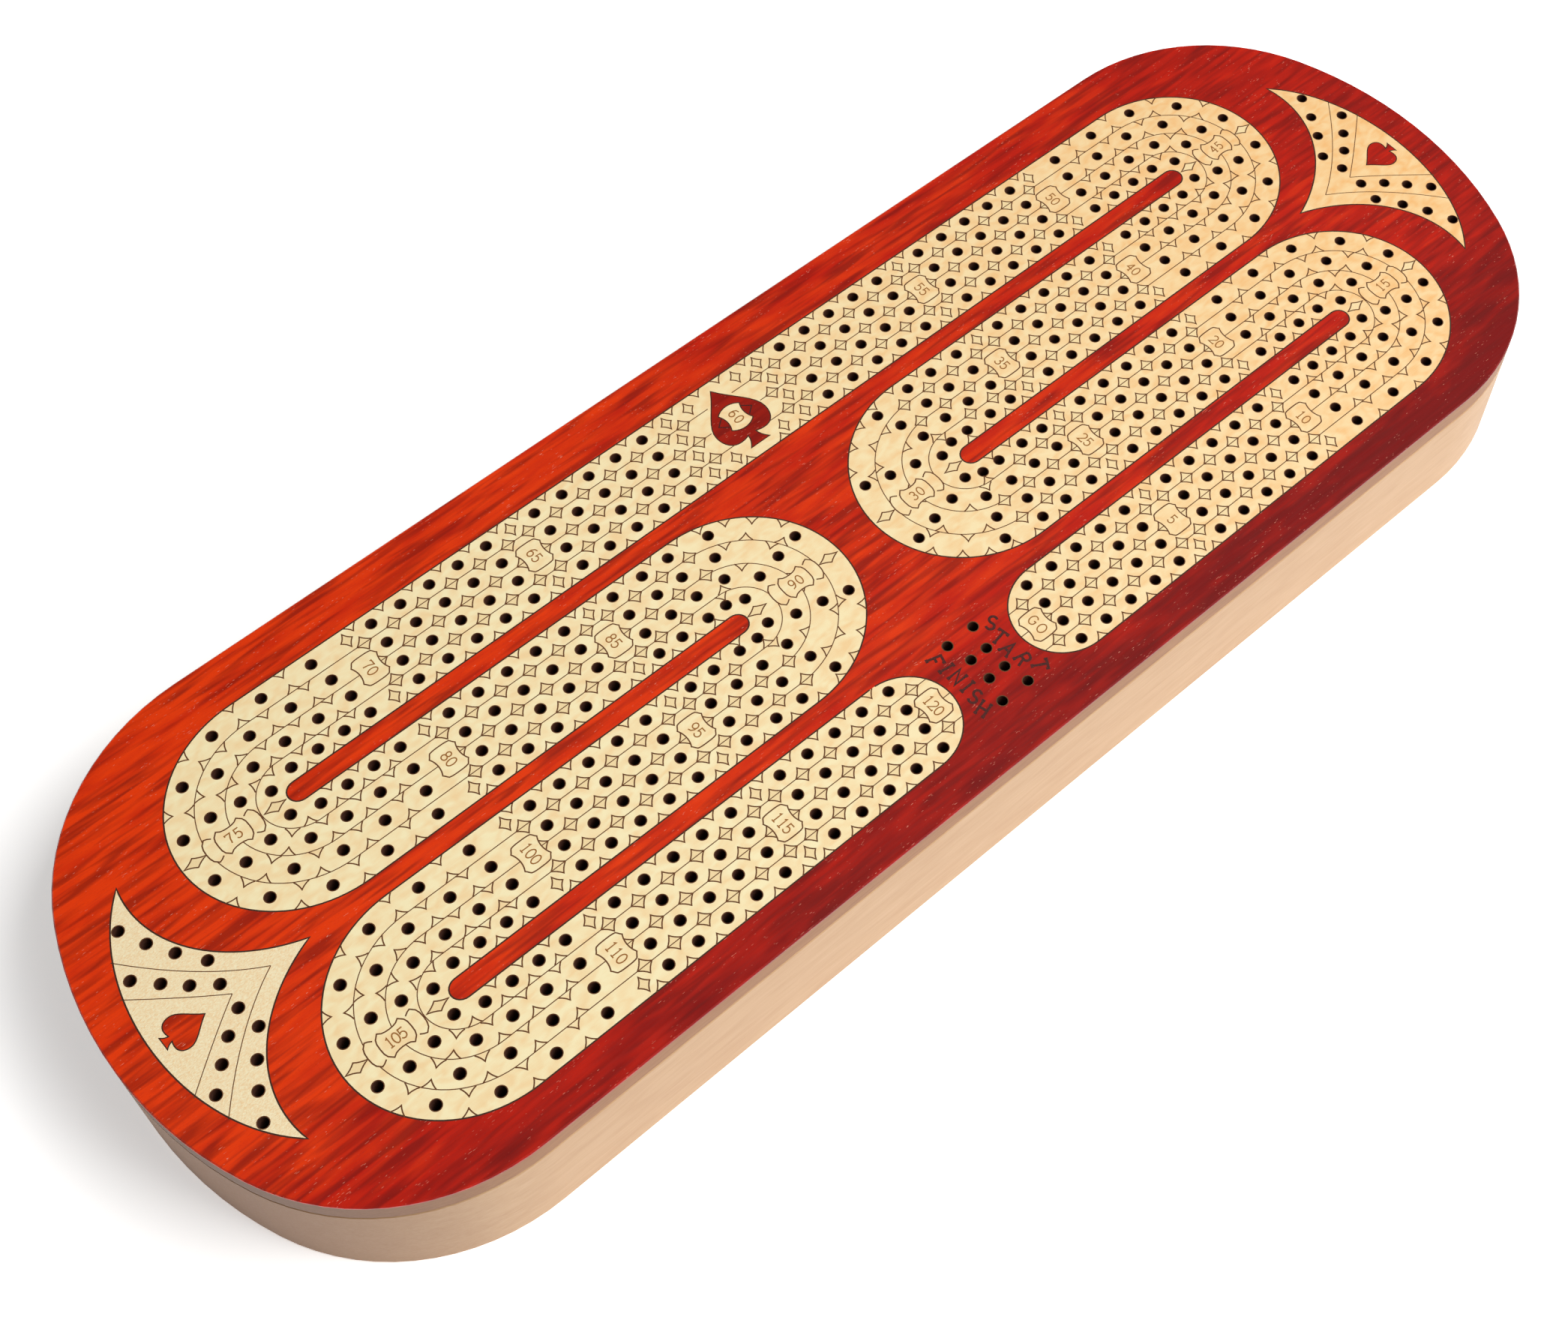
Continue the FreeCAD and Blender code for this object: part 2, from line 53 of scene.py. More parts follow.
def addNode(tree, kind, settings=None, **inputs):
    # settings are the node's own fields, or the stops of a ramp
    # an input is a value, an output to link, or a node whose result is linked; i6 is input number 6
    node = tree.nodes.new(kind)
    for field, value in (settings or {}).items():
        if field == "stops":
            for i, (place, colour) in enumerate(value):
                element = node.color_ramp.elements[i] if i < 2 else node.color_ramp.elements.new(place)
                element.position = place
                element.color = linear(colour) if isinstance(colour, str) else (colour, colour, colour, 1)
        else:
            setattr(node, field, value)
    for name, value in inputs.items():
        key = int(name[1:]) if name[0] == "i" and name[1:].isdigit() else name.replace("_", " ")
        if isinstance(value, bpy.types.Node):
            value = value.outputs[2 if value.bl_idname == "ShaderNodeMix" else 0]
        if isinstance(value, bpy.types.NodeSocket):
            tree.links.new(value, node.inputs[key])
        else:
            node.inputs[key].default_value = value
    return node


def startMaterial(name):
    material = bpy.data.materials.new(name)
    material.use_nodes = True
    material.node_tree.nodes.clear()
    place = addNode(material.node_tree, "ShaderNodeTexCoord").outputs["Object"]
    return material, material.node_tree, place


def finishMaterial(tree, height, bump, **inputs):
    # bump is its strength and its depth in metres
    normal = addNode(tree, "ShaderNodeBump", Height=height, Strength=bump[0], Distance=bump[1])
    shader = addNode(tree, "ShaderNodeBsdfPrincipled", Normal=normal, **inputs)
    addNode(tree, "ShaderNodeOutputMaterial", Surface=shader)


bloodwoodLook = {
    "bright": "#ec3c02", "middle": "#c31a01", "deep": "#7e0301", "band": "#6c0803", "pore": "#5c0a06",
    # glint is the colour of a painted highlight in the pores
    "glint": "#f2a088",
    "halfLength": 0.1905, "halfWidth": 0.0667,
    "cloudSize": (70, 16, 16), "bandSize": (90, 8.0, 20), "lineSize": (50, 1.6, 6),  # mm
    "poreSize": (3.2, 0.22, 1.5), "glintSize": (5.0, 0.55, 3), "patchSize": (30, 12, 20),  # mm
    "bandAmount": 0.6, "lineAmount": 0.12, "poreAmount": 0.45, "glintAmount": 0.8,
    "roughness": 0.36, "ior": 1.45,
}


def makeBloodwood(name, look):
    # bloodwood, sanded through 320 and wiped with lacquer; its red deepens to the right and the near side as
    # painted shade, and stays lighter to the left and back as a painted sheen
    material, tree, place = startMaterial(name)
    parts = addNode(tree, "ShaderNodeSeparateXYZ", Vector=place)
    # painted shade and sheen: lighter toward the left and back, deeper toward the right end and the near side
    along = addNode(tree, "ShaderNodeMapRange", Value=parts.outputs["X"], i1=-look["halfLength"],
                    i2=look["halfLength"], i3=0.0, i4=0.42)
    paintedShadeAtEnd = addNode(tree, "ShaderNodeMapRange", Value=parts.outputs["X"], i1=0.7 * look["halfLength"],
                    i2=look["halfLength"], i3=0.0, i4=0.16)
    across = addNode(tree, "ShaderNodeMapRange", Value=parts.outputs["Y"], i1=-0.4 * look["halfWidth"],
                     i2=-look["halfWidth"], i3=0.0, i4=0.6)
    cloudPlace = addNode(tree, "ShaderNodeMapping", Vector=place, Scale=perMm(*look["cloudSize"]))
    cloud = addNode(tree, "ShaderNodeTexNoise", Vector=cloudPlace, Detail=2.0)
    cloudShift = addNode(tree, "ShaderNodeMapRange", Value=cloud, i1=0.3, i2=0.7, i3=-0.16, i4=0.16)
    depth = addNode(tree, "ShaderNodeMath", {"operation": "ADD"}, i0=along, i1=across)
    depth = addNode(tree, "ShaderNodeMath", {"operation": "ADD"}, i0=depth, i1=paintedShadeAtEnd)
    depth = addNode(tree, "ShaderNodeMath", {"operation": "ADD"}, i0=depth, i1=cloudShift)
    ground = addNode(tree, "ShaderNodeValToRGB", {"stops": [
        (0.0, look["bright"]), (0.4, look["middle"]), (0.88, look["deep"])]}, Fac=depth)
    # broad soft bands of late wood, then the finer lines within them
    bandPlace = addNode(tree, "ShaderNodeMapping", Vector=place, Scale=perMm(*look["bandSize"]),
                        Location=(3, 8, 1))
    band = addNode(tree, "ShaderNodeTexNoise", Vector=bandPlace, Detail=1.6, Distortion=0.3)
    bandMask = addNode(tree, "ShaderNodeMapRange", Value=band, i1=0.44, i2=0.66, i3=0.0,
                       i4=look["bandAmount"])
    colour = addNode(tree, "ShaderNodeMix", {"data_type": "RGBA"}, i0=bandMask, i6=ground,
                     i7=linear(look["band"]))
    linePlace = addNode(tree, "ShaderNodeMapping", Vector=place, Scale=perMm(*look["lineSize"]))
    lines = addNode(tree, "ShaderNodeTexNoise", Vector=linePlace, Detail=3.0, Roughness=0.5, Distortion=0.5)
    lineMask = addNode(tree, "ShaderNodeMapRange", Value=lines, i1=0.5, i2=0.72, i3=0.0,
                       i4=look["lineAmount"])
    colour = addNode(tree, "ShaderNodeMix", {"data_type": "RGBA"}, i0=lineMask, i6=colour,
                     i7=linear(look["band"]))
    # open pores: short dark dashes, and in patches pale dashes that are painted glints of light off the
    # lacquer in the pores
    porePlace = addNode(tree, "ShaderNodeMapping", Vector=place, Scale=perMm(*look["poreSize"]),
                        Location=(1, 2, 3))
    pores = addNode(tree, "ShaderNodeTexNoise", Vector=porePlace, Detail=1.0)
    poreMask = addNode(tree, "ShaderNodeMapRange", Value=pores, i1=0.66, i2=0.74, i3=0.0,
                       i4=look["poreAmount"])
    colour = addNode(tree, "ShaderNodeMix", {"data_type": "RGBA"}, i0=poreMask, i6=colour,
                     i7=linear(look["pore"]))
    # painted highlight: sparse pale pink dashes stand for light glinting off the lacquer
    glintPlace = addNode(tree, "ShaderNodeMapping", Vector=place, Scale=perMm(*look["glintSize"]),
                         Location=(9, 5, 3))
    glints = addNode(tree, "ShaderNodeTexNoise", Vector=glintPlace, Detail=0.0)
    patchPlace = addNode(tree, "ShaderNodeMapping", Vector=place, Scale=perMm(*look["patchSize"]),
                         Location=(2, 5, 7))
    patches = addNode(tree, "ShaderNodeTexNoise", Vector=patchPlace, Detail=1.0)
    glintSum = addNode(tree, "ShaderNodeMath", {"operation": "MULTIPLY_ADD"}, i0=patches, i1=0.36, i2=glints)
    paintedGlintMask = addNode(tree, "ShaderNodeMapRange", Value=glintSum, i1=1.01, i2=1.04, i3=0.0,
                        i4=look["glintAmount"])
    colour = addNode(tree, "ShaderNodeMix", {"data_type": "RGBA"}, i0=paintedGlintMask, i6=colour,
                     i7=linear(look["glint"]))
    roughness = addNode(tree, "ShaderNodeMapRange", Value=lines, i1=0.2, i2=0.8,
                        i3=look["roughness"] - 0.04, i4=look["roughness"] + 0.08)
    height = addNode(tree, "ShaderNodeMath", {"operation": "SUBTRACT"}, i0=lines, i1=poreMask)
    finishMaterial(tree, height, (0.12, 0.00004), Base_Color=colour, Roughness=roughness, IOR=look["ior"])
    return material


mapleLooks = {
    # hard maple inlay, sanded and lacquered with the face: cream, close and even, darker and warmer to the
    # right as painted shade
    "inlayMapleLacquered": {"light": "#fff1c2", "dark": "#f6be7a", "fleck": "#dcae70", "roughness": 0.4,
                            "grain": (24, 1.2, 4), "cloud": (18, 11, 5), "fleckSize": (2.2, 0.5, 1),
                            "fleckAmount": 0.1, "grainShare": 0.2, "paintedShadeToRight": 0.6, "contrast": 0.45},
    # quarter-sawn maple crescents: short ray flecks catch the eye across the grain
    "figuredMapleLacquered": {"light": "#fff2ca", "dark": "#f2c48a", "fleck": "#c9965c", "roughness": 0.4,
                              "grain": (20, 0.7, 4), "cloud": (2.4, 1.1, 3), "fleckSize": (1.3, 0.5, 1),
                              "fleckAmount": 0.2, "grainShare": 0.2, "paintedShadeToRight": 0.5, "contrast": 0.7,
                              "bump": (0.4, 0.00016)},
    # plain-sawn soft maple box in thin satin lacquer: long quiet grain, pinkish beige
    "bodyMapleSatin": {"light": "#c4a07a", "dark": "#b48c66", "fleck": "#a87e58", "roughness": 0.5,
                       "grain": (70, 3.0, 1.6), "cloud": (60, 18, 14), "fleckSize": (4.0, 0.8, 0.5),
                       "fleckAmount": 0.2, "grainShare": 0.6, "paintedShadeToRight": 0.0, "contrast": 0.8,
                       # the end colour is end grain, darkened further as painted shade of the ends
                       "endGrainAndShade": "#8a5a32"},
    # the lid board is the same maple, coloured browner and darker than the box
    "lidMapleSatin": {"light": "#9c6a3e", "dark": "#80502a", "fleck": "#643c20", "roughness": 0.5,
                      "grain": (50, 3.0, 0.8), "cloud": (40, 18, 5), "fleckSize": (5.0, 0.8, 0.4),
                      "fleckAmount": 0.25, "grainShare": 0.6, "paintedShadeToRight": 0.0, "contrast": 0.8,
                      "endGrainAndShade": "#6e4424"},
}


def makeMaple(name, look):
    material, tree, place = startMaterial(name)
    grainPlace = addNode(tree, "ShaderNodeMapping", Vector=place, Scale=perMm(*look["grain"]))
    grain = addNode(tree, "ShaderNodeTexNoise", Vector=grainPlace, Detail=4.0, Roughness=0.6, Distortion=0.4)
    cloudPlace = addNode(tree, "ShaderNodeMapping", Vector=place, Scale=perMm(*look["cloud"]),
                         Location=(4, 1, 2))
    cloud = addNode(tree, "ShaderNodeTexNoise", Vector=cloudPlace, Detail=1.0, Distortion=0.5)
    figure = addNode(tree, "ShaderNodeMix", i0=look["grainShare"], i2=cloud, i3=grain)
    tone = addNode(tree, "ShaderNodeMapRange", Value=figure.outputs[0], i1=0.36, i2=0.7, i3=0.0,
                   i4=look["contrast"])
    parts = addNode(tree, "ShaderNodeSeparateXYZ", Vector=place)
    # painted shade: the maple darkens toward its dark colour from left of the middle to the right end
    paintedShadeToRight = addNode(tree, "ShaderNodeMapRange", Value=parts.outputs["X"], i1=-0.06, i2=0.19, i3=0.0,
                     i4=look["paintedShadeToRight"])
    tone = addNode(tree, "ShaderNodeMath", {"operation": "ADD", "use_clamp": True}, i0=tone, i1=paintedShadeToRight)
    colour = addNode(tree, "ShaderNodeMix", {"data_type": "RGBA"}, i0=tone, i6=linear(look["light"]),
                     i7=linear(look["dark"]))
    fleckPlace = addNode(tree, "ShaderNodeMapping", Vector=place, Scale=perMm(*look["fleckSize"]),
                         Location=(7, 3, 1))
    fleck = addNode(tree, "ShaderNodeTexNoise", Vector=fleckPlace, Detail=1.5)
    fleckMask = addNode(tree, "ShaderNodeMapRange", Value=fleck, i1=0.6, i2=0.75, i3=0.0,
                        i4=look["fleckAmount"])
    colour = addNode(tree, "ShaderNodeMix", {"data_type": "RGBA"}, i0=fleckMask, i6=colour,
                     i7=linear(look["fleck"]))
    if "endGrainAndShade" in look:  # end grain drinks more lacquer and goes browner, and painted shade darkens the end faces further
        facing = addNode(tree, "ShaderNodeSeparateXYZ", Vector=place.node.outputs["Normal"])
        endOn = addNode(tree, "ShaderNodeMath", {"operation": "ABSOLUTE"}, i0=facing.outputs["X"])
        endGrainAndShadeMask = addNode(tree, "ShaderNodeMapRange", Value=endOn, i1=0.2, i2=0.95, i3=0.0, i4=0.85)
        colour = addNode(tree, "ShaderNodeMix", {"data_type": "RGBA"}, i0=endGrainAndShadeMask, i6=colour,
                         i7=linear(look["endGrainAndShade"]))
    roughness = addNode(tree, "ShaderNodeMapRange", Value=grain, i1=0.2, i2=0.8,
                        i3=look["roughness"] - 0.05, i4=look["roughness"] + 0.08)
    finishMaterial(tree, figure.outputs[0], look.get("bump", (0.1, 0.00004)), Base_Color=colour,
                   Roughness=roughness, IOR=1.45)
    return material


# the large spade is cut from the darkest stock, so that it stands out from the face
spadeStock = {**bloodwoodLook, "bright": "#a81c06", "middle": "#8e1002", "deep": "#6c0402"}
woods = {"bloodwood": makeBloodwood("bloodwoodLacquered", bloodwoodLook),
         "darkBloodwood": makeBloodwood("bloodwoodHeartLacquered", spadeStock)}
for name, look in mapleLooks.items():
    woods[name] = makeMaple(name, look)


charLooks = {
    # lines burned by a fine hot tip or a laser: matt brown char, browner where the tip lingered less
    "burnedLine": {"colour": "#4e2a0e", "edge": "#7c4c20", "roughness": 0.75},
    # maple between burned lines, toasted by the passing heat
    "toastedMaple": {"colour": "#f4d8a0", "edge": "#fae4b4", "roughness": 0.5},
    # number strokes are burned more lightly, so they read caramel
    "lightBurn": {"colour": "#8a5218", "edge": "#b07a3c", "roughness": 0.7},
    # the joint between the two woods is charred almost black
    "jointBurn": {"colour": "#2c160a", "edge": "#50280f", "roughness": 0.7},
    # deep letters in the bloodwood: black with a red cast
    "letterBurn": {"colour": "#1c0908", "edge": "#6a1c10", "roughness": 0.55},
    # walls of the peg holes, scorched by the cutter
    "scorchedHole": {"colour": "#2c140a", "edge": "#5c2e18", "roughness": 0.8},
    # the singed lip round a hole
    "holeRim": {"colour": "#4a2812", "edge": "#7a4a22", "roughness": 0.7},
}


def makeChar(name, look):
    material, tree, place = startMaterial(name)
    mottlePlace = addNode(tree, "ShaderNodeMapping", Vector=place, Scale=perMm(0.6, 0.6, 0.6))
    mottle = addNode(tree, "ShaderNodeTexNoise", Vector=mottlePlace, Detail=2.0)
    level = addNode(tree, "ShaderNodeMapRange", Value=mottle, i1=0.35, i2=0.7, i3=0.0, i4=1.0)
    colour = addNode(tree, "ShaderNodeMix", {"data_type": "RGBA"}, i0=level, i6=linear(look["colour"]),
                     i7=linear(look["edge"]))
    finishMaterial(tree, mottle, (0.2, 0.00004), Base_Color=colour, Roughness=look["roughness"], IOR=1.45)
    return material


chars = {name: makeChar(name, look) for name, look in charLooks.items()}


metalLooks = {
    # turned brass rod: warm yellow, rings glint round the pin
    "brassTurned": {"colour": "#d8b15c", "roughness": 0.24, "ring": 0.35},
    # turned bright steel: cool and a little darker in the grooves
    "steelTurned": {"colour": "#c4c6c8", "roughness": 0.26, "ring": 0.35},
    # copper plate over turned brass: salmon, smooth
    "copperPlated": {"colour": "#c97e58", "roughness": 0.24, "ring": 0.35},
    # black oxide on turned steel: near black with a soft sheen
    "blackOxideSteel": {"colour": "#26262a", "roughness": 0.38, "ring": 0.3},
    # nickel plate on the magnets: bright, faintly yellow
    "nickelPlated": {"colour": "#d6d2c8", "roughness": 0.2, "ring": 0.6},
}


def makeMetal(name, look):
    # rings along z stand for the feed of the lathe, drawn coarser than the real 0.05 mm
    material, tree, place = startMaterial(name)
    ringPlace = addNode(tree, "ShaderNodeMapping", Vector=place, Scale=perMm(8, 8, look["ring"]))
    rings = addNode(tree, "ShaderNodeTexNoise", Vector=ringPlace, Detail=3.0)
    tint = addNode(tree, "ShaderNodeMapRange", Value=rings, i1=0.3, i2=0.7, i3=0.0, i4=0.25)
    colour = addNode(tree, "ShaderNodeMix", {"data_type": "RGBA"}, i0=tint, i6=linear(look["colour"]),
                     i7=linear("#3e372f"))
    roughness = addNode(tree, "ShaderNodeMapRange", Value=rings, i1=0.3, i2=0.7,
                        i3=look["roughness"] - 0.05, i4=look["roughness"] + 0.1)
    finishMaterial(tree, rings, (0.1, 0.00002), Base_Color=colour, Roughness=roughness, Metallic=1.0)
    return material


def makeNylon(name):
    # natural nylon sheet, punched: milky and slightly waxy
    material, tree, place = startMaterial(name)
    cloudPlace = addNode(tree, "ShaderNodeMapping", Vector=place, Scale=perMm(3, 3, 3))
    cloud = addNode(tree, "ShaderNodeTexNoise", Vector=cloudPlace, Detail=3.0)
    colour = addNode(tree, "ShaderNodeMix", {"data_type": "RGBA"}, i0=cloud, i6=linear("#e9e6da"),
                     i7=linear("#d9d4c2"))
    finishMaterial(tree, cloud, (0.05, 0.00005), Base_Color=colour, Roughness=0.5, IOR=1.53)
    return material


metals = {name: makeMetal(name, look) for name, look in metalLooks.items()}
nylon = makeNylon("nylonNatural")
print("materials made")


# finishes of the frame's own parts

nodeFinish = {
    "box_body": woods["bodyMapleSatin"], "lid_board": woods["lidMapleSatin"],
    "bloodwood_face": woods["bloodwood"], "track_inlay": woods["inlayMapleLacquered"],
    "right_crescent": woods["inlayMapleLacquered"], "left_crescent": woods["figuredMapleLacquered"],
    "right_spade": woods["bloodwood"], "left_spade": woods["bloodwood"],
    "sixty_spade": woods["darkBloodwood"], "sixty_plate": woods["inlayMapleLacquered"],
    "pegs_brass": metals["brassTurned"], "pegs_steel": metals["steelTurned"],
    "pegs_copper": metals["copperPlated"], "pegs_black": metals["blackOxideSteel"],
    "box_magnets": metals["nickelPlated"], "lid_magnets": metals["nickelPlated"],
    "pivot_screw": metals["steelTurned"], "tension_washer": metals["steelTurned"],
    "pivot_insert": metals["brassTurned"], "pivot_washer": nylon,
}
drilled = ["lid_board", "bloodwood_face", "track_inlay", "right_crescent", "left_crescent"]

for name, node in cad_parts.items():
    node.data.materials.clear()
    node.data.materials.append(nodeFinish[name])

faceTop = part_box("track_inlay")[1].z / mm


# the plan of the face, all in millimetres

plan = {
    "lanePitch": 29.0, "shift": -1.1, "firstHole": 20.6, "pegPitch": 7.68,
    "groupPitch": 44.1, "turnX": 129.6, "turnStretch": 1.067, "turnStart": 104.6, "dividerHalf": 2.5,
    "middleX": 33.5, "dividerX": 34.9, "labelX": 57.97, "outerLabelX": 101.8, "capX": 23.4,
    "turnLabelX": 145.5, "middleLabelX": 18.1, "holeRadius": 1.2, "ribbonHalf": 12.0, "turnEdge": 26.5,
    "turnGaps": [0.7, 1.95, 1.9, -0.2],
    "middleSteps": [[5.6, 6.4, 7.3, 5.0, 4.5], [6.4, 7.2, 7.2, 7.4, 8.0],
                    [6.6, 7.8, 7.0, 8.7, 14.5], [6.6, 8.2, 7.3, 10.4, 20.2]],
}
lanes = [plan["shift"] + plan["lanePitch"] * step for step in (-1.5, -0.5, 0.5, 1.5)]
nearTurn, farTurn = (lanes[0] + lanes[1]) / 2, (lanes[2] + lanes[3]) / 2
middleTurn = plan["shift"]
trackRadii = [5.5, 11.5, 17.5, 23.5]
rowOffsets = [9.0, 3.0, -3.0, -9.0]


def quarterTurn(radius):
    return radius * (1 + plan["turnStretch"]) / 2 * math.pi / 2


def onTurn(turnX, radius, distance):
    # a point on a turn, measured back from its top: x out, y up, and the way it faces outward
    quarter = quarterTurn(radius)
    if distance > quarter:
        return (turnX - (distance - quarter), radius), (0.0, 1.0)
    angle = distance / quarter * math.pi / 2
    outward = Vector((math.cos(angle) / plan["turnStretch"], math.sin(angle))).normalized()
    point = (turnX + radius * plan["turnStretch"] * math.cos(angle), radius * math.sin(angle))
    return point, (outward.x, outward.y)


def boardHoles():
    right = []
    for lane, group in ((0, 0), (0, 1), (1, 1), (2, 1), (3, 0), (3, 1)):
        start = plan["firstHole"] + group * plan["groupPitch"]
        right += [(start + k * plan["pegPitch"], lanes[lane] + row) for k in range(5) for row in rowOffsets]
    for radius, gap in zip(trackRadii, plan["turnGaps"]):
        reach = quarterTurn(radius) + plan["turnX"] - plan["turnStart"]
        cell = (reach - gap) / 5
        for k in range(5):
            (x, y), facing = onTurn(plan["turnX"], radius, reach - (k + 0.5) * cell)
            right += [(x, centre + side * y) for centre in (nearTurn, farTurn) for side in (1, -1)]
    for radius, steps in zip(trackRadii, plan["middleSteps"]):
        distance = quarterTurn(radius) + plan["labelX"] - plan["middleX"]
        for step in steps:
            distance -= step
            (x, y), facing = onTurn(-plan["middleX"], radius, distance)
            right += [(-x, middleTurn + side * y) for side in (1, -1)]
    outer = [(164.4, 9.2), (168.4, 14.8), (171.7, 20.3), (174.5, 26.3)]
    inner = [(165.3, 3.3), (170.0, 7.0), (174.1, 11.1), (178.3, 15.6)]
    right += [(x, middleTurn + arm * y) for x, y in outer + inner for arm in (1, -1)]
    start = []
    for side, bow in ((1, 3.7), (-1, 3.9)):
        for row, flare in ((-9, 1), (-3, 0), (3, 0), (9, 1)):
            start.append((0.6 + side * (2.3 + flare * (bow - 2.3)), lanes[0] + row))
    return right + [(-x, y) for x, y in right], start


woodHoles, startHoles = boardHoles()


# faces of the frame's parts that lie inside a peg hole get the scorched finish

scorch = {"lowest": 31.55, "flatBelow": 35, "cell": 4, "slack": 0.04}  # mm


def scorchHoles(node, holes, radius):
    cell, reach = scorch["cell"], radius + scorch["slack"]
    cells = {}
    for x, y in holes:
        cells.setdefault((round(x / cell), round(y / cell)), []).append((x, y))
    node.data.materials.append(chars["scorchedHole"])
    count = 0
    for polygon in node.data.polygons:
        x, y, z = (polygon.center / mm)[:]
        if z < scorch["lowest"] or (polygon.normal.z > 0.5 and z > scorch["flatBelow"]):
            continue
        near = [h for i in (-1, 0, 1) for j in (-1, 0, 1)
                for h in cells.get((round(x / cell) + i, round(y / cell) + j), [])]
        if any((x - hx) ** 2 + (y - hy) ** 2 < reach ** 2 for hx, hy in near):
            polygon.material_index = 1
            count += 1
    return count


for name in drilled:
    found = scorchHoles(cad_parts[name], woodHoles + startHoles, plan["holeRadius"])
    print("scorched faces in", name, found)


# thin solid strips and plates draw the burned work

class Sheet:
    # gathers many small closed solids into one mesh
    def __init__(self, name, top, depth, material, body="lid", slotName="maple_inlay"):
        self.name, self.top, self.depth, self.material = name, top, depth, material
        self.body, self.slotName = body, slotName
        self.vertices, self.faces = [], []
        self.count = 0

    def strip(self, points, width, closed=False):
        # each strip lies a little higher than the last, so that no two tops coincide where they cross
        self.count += 1
        top = self.top + 0.0012 * (self.count % 7)
        points = [Vector(p) for p in points]
        count = len(points)
        base = len(self.vertices)
        for i, point in enumerate(points):
            before = points[i - 1] if closed or i else None
            after = points[(i + 1) % count] if closed or i < count - 1 else None
            into = (point - before).normalized() if before is not None else None
            out = (after - point).normalized() if after is not None else None
            into, out = into or out, out or into
            mean = into + out
            mean = mean.normalized() if mean.length > 1e-6 else out
            side = Vector((-mean.y, mean.x))
            stretch = min(1 / max(abs(side.dot(Vector((-into.y, into.x)))), 0.4), 2.2)
            reach = side * (width / 2 * stretch)
            for p, z in ((point + reach, 0), (point - reach, 0), (point - reach, -1), (point + reach, -1)):
                self.vertices.append((p.x * mm, p.y * mm, (top + z * self.depth) * mm))
        last = count if closed else count - 1
        for i in range(last):
            a, b = base + 4 * i, base + 4 * ((i + 1) % count)
            for k in range(4):
                n = (k + 1) % 4
                self.faces.append((a + k, b + k, b + n, a + n))
        if not closed:
            self.faces.append((base, base + 1, base + 2, base + 3))
            end = base + 4 * (count - 1)
            self.faces.append((end + 3, end + 2, end + 1, end))

    def plate(self, outline):
        base, count = len(self.vertices), len(outline)
        turn = sum(outline[i - 1][0] * outline[i][1] - outline[i][0] * outline[i - 1][1]
                   for i in range(count))
        points = outline if turn > 0 else outline[::-1]
        for z in (0, -1):
            self.vertices += [(x * mm, y * mm, (self.top + z * self.depth) * mm) for x, y in points]
        self.faces.append(tuple(base + i for i in range(count)))
        self.faces.append(tuple(base + count + i for i in reversed(range(count))))
        for i in range(count):
            n = (i + 1) % count
            self.faces.append((base + n, base + i, base + count + i, base + count + n))

    def build(self):
        mesh = bpy.data.meshes.new(self.name)
        mesh.from_pydata(self.vertices, [], self.faces)
        mesh.validate()
        piece = bpy.data.objects.new(self.name, mesh)
        bpy.context.scene.collection.objects.link(piece)
        mesh.materials.append(self.material)
        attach(piece, self.body)
        print(self.name, len(mesh.polygons), "faces")


# above the face, each apart from the next by less than a strip's own step, so that no two tops coincide
heights = {"field": 0.003, "line": 0.006, "star": 0.0066, "joint": 0.0069, "rim": 0.0063,
           "plate": 0.016, "mark": 0.018, "depth": 0.12}
jointLines = Sheet("jointLines", faceTop + heights["joint"], heights["depth"], chars["jointBurn"])
burnLines = Sheet("burnedLines", faceTop + heights["line"], heights["depth"], chars["burnedLine"])
starLines = Sheet("burnedStars", faceTop + heights["star"], heights["depth"], chars["burnedLine"])
starFields = Sheet("toastedStars", faceTop + heights["field"], heights["depth"], chars["toastedMaple"])
plates = Sheet("numberPlates", faceTop + heights["plate"], heights["depth"], woods["inlayMapleLacquered"])
plateLines = Sheet("plateOutlines", faceTop + heights["mark"], heights["depth"], chars["burnedLine"])
numbers = Sheet("numbers", faceTop + heights["mark"], heights["depth"], chars["lightBurn"])
letters = Sheet("startAndFinish", faceTop + heights["mark"], heights["depth"], chars["letterBurn"],
                slotName="bloodwood")
rims = Sheet("holeRims", faceTop + heights["rim"], heights["depth"], chars["holeRim"])
vees = Sheet("crescentLines", faceTop + heights["line"], heights["depth"], chars["burnedLine"],
             slotName="maple_figured")
lineWidths = {"joint": 0.34, "inlayJoint": 0.272, "lane": 0.22, "star": 0.3, "plate": 0.3, "digit": 0.3,
              "letter": 0.62, "vee": 0.2, "partStar": 0.3, "rim": 0.2}


def arcPoints(centreX, centreY, radius, fromDegrees, toDegrees, steps, stretch=None):
    stretch = plan["turnStretch"] if stretch is None else stretch
    angles = [math.radians(fromDegrees + (toDegrees - fromDegrees) * k / steps) for k in range(steps + 1)]
    return [(centreX + radius * stretch * math.cos(a), centreY + radius * math.sin(a)) for a in angles]


def hollow(start, end, sag, steps=4):
    # a shallow curve from start to end that bows to the left of its way by sag
    a, b = Vector(start), Vector(end)
    across = (b - a).normalized()
    across = Vector((-across.y, across.x))
    shares = [k / steps for k in range(steps)]
    return [tuple(a.lerp(b, share) + across * sag * 4 * share * (1 - share)) for share in shares]


def turned(points, centre, facing):
    # places points drawn with their y axis upward so that it faces the given way
    fx, fy = facing
    return [(centre[0] + x * fy + y * fx, centre[1] - x * fx + y * fy) for x, y in points]


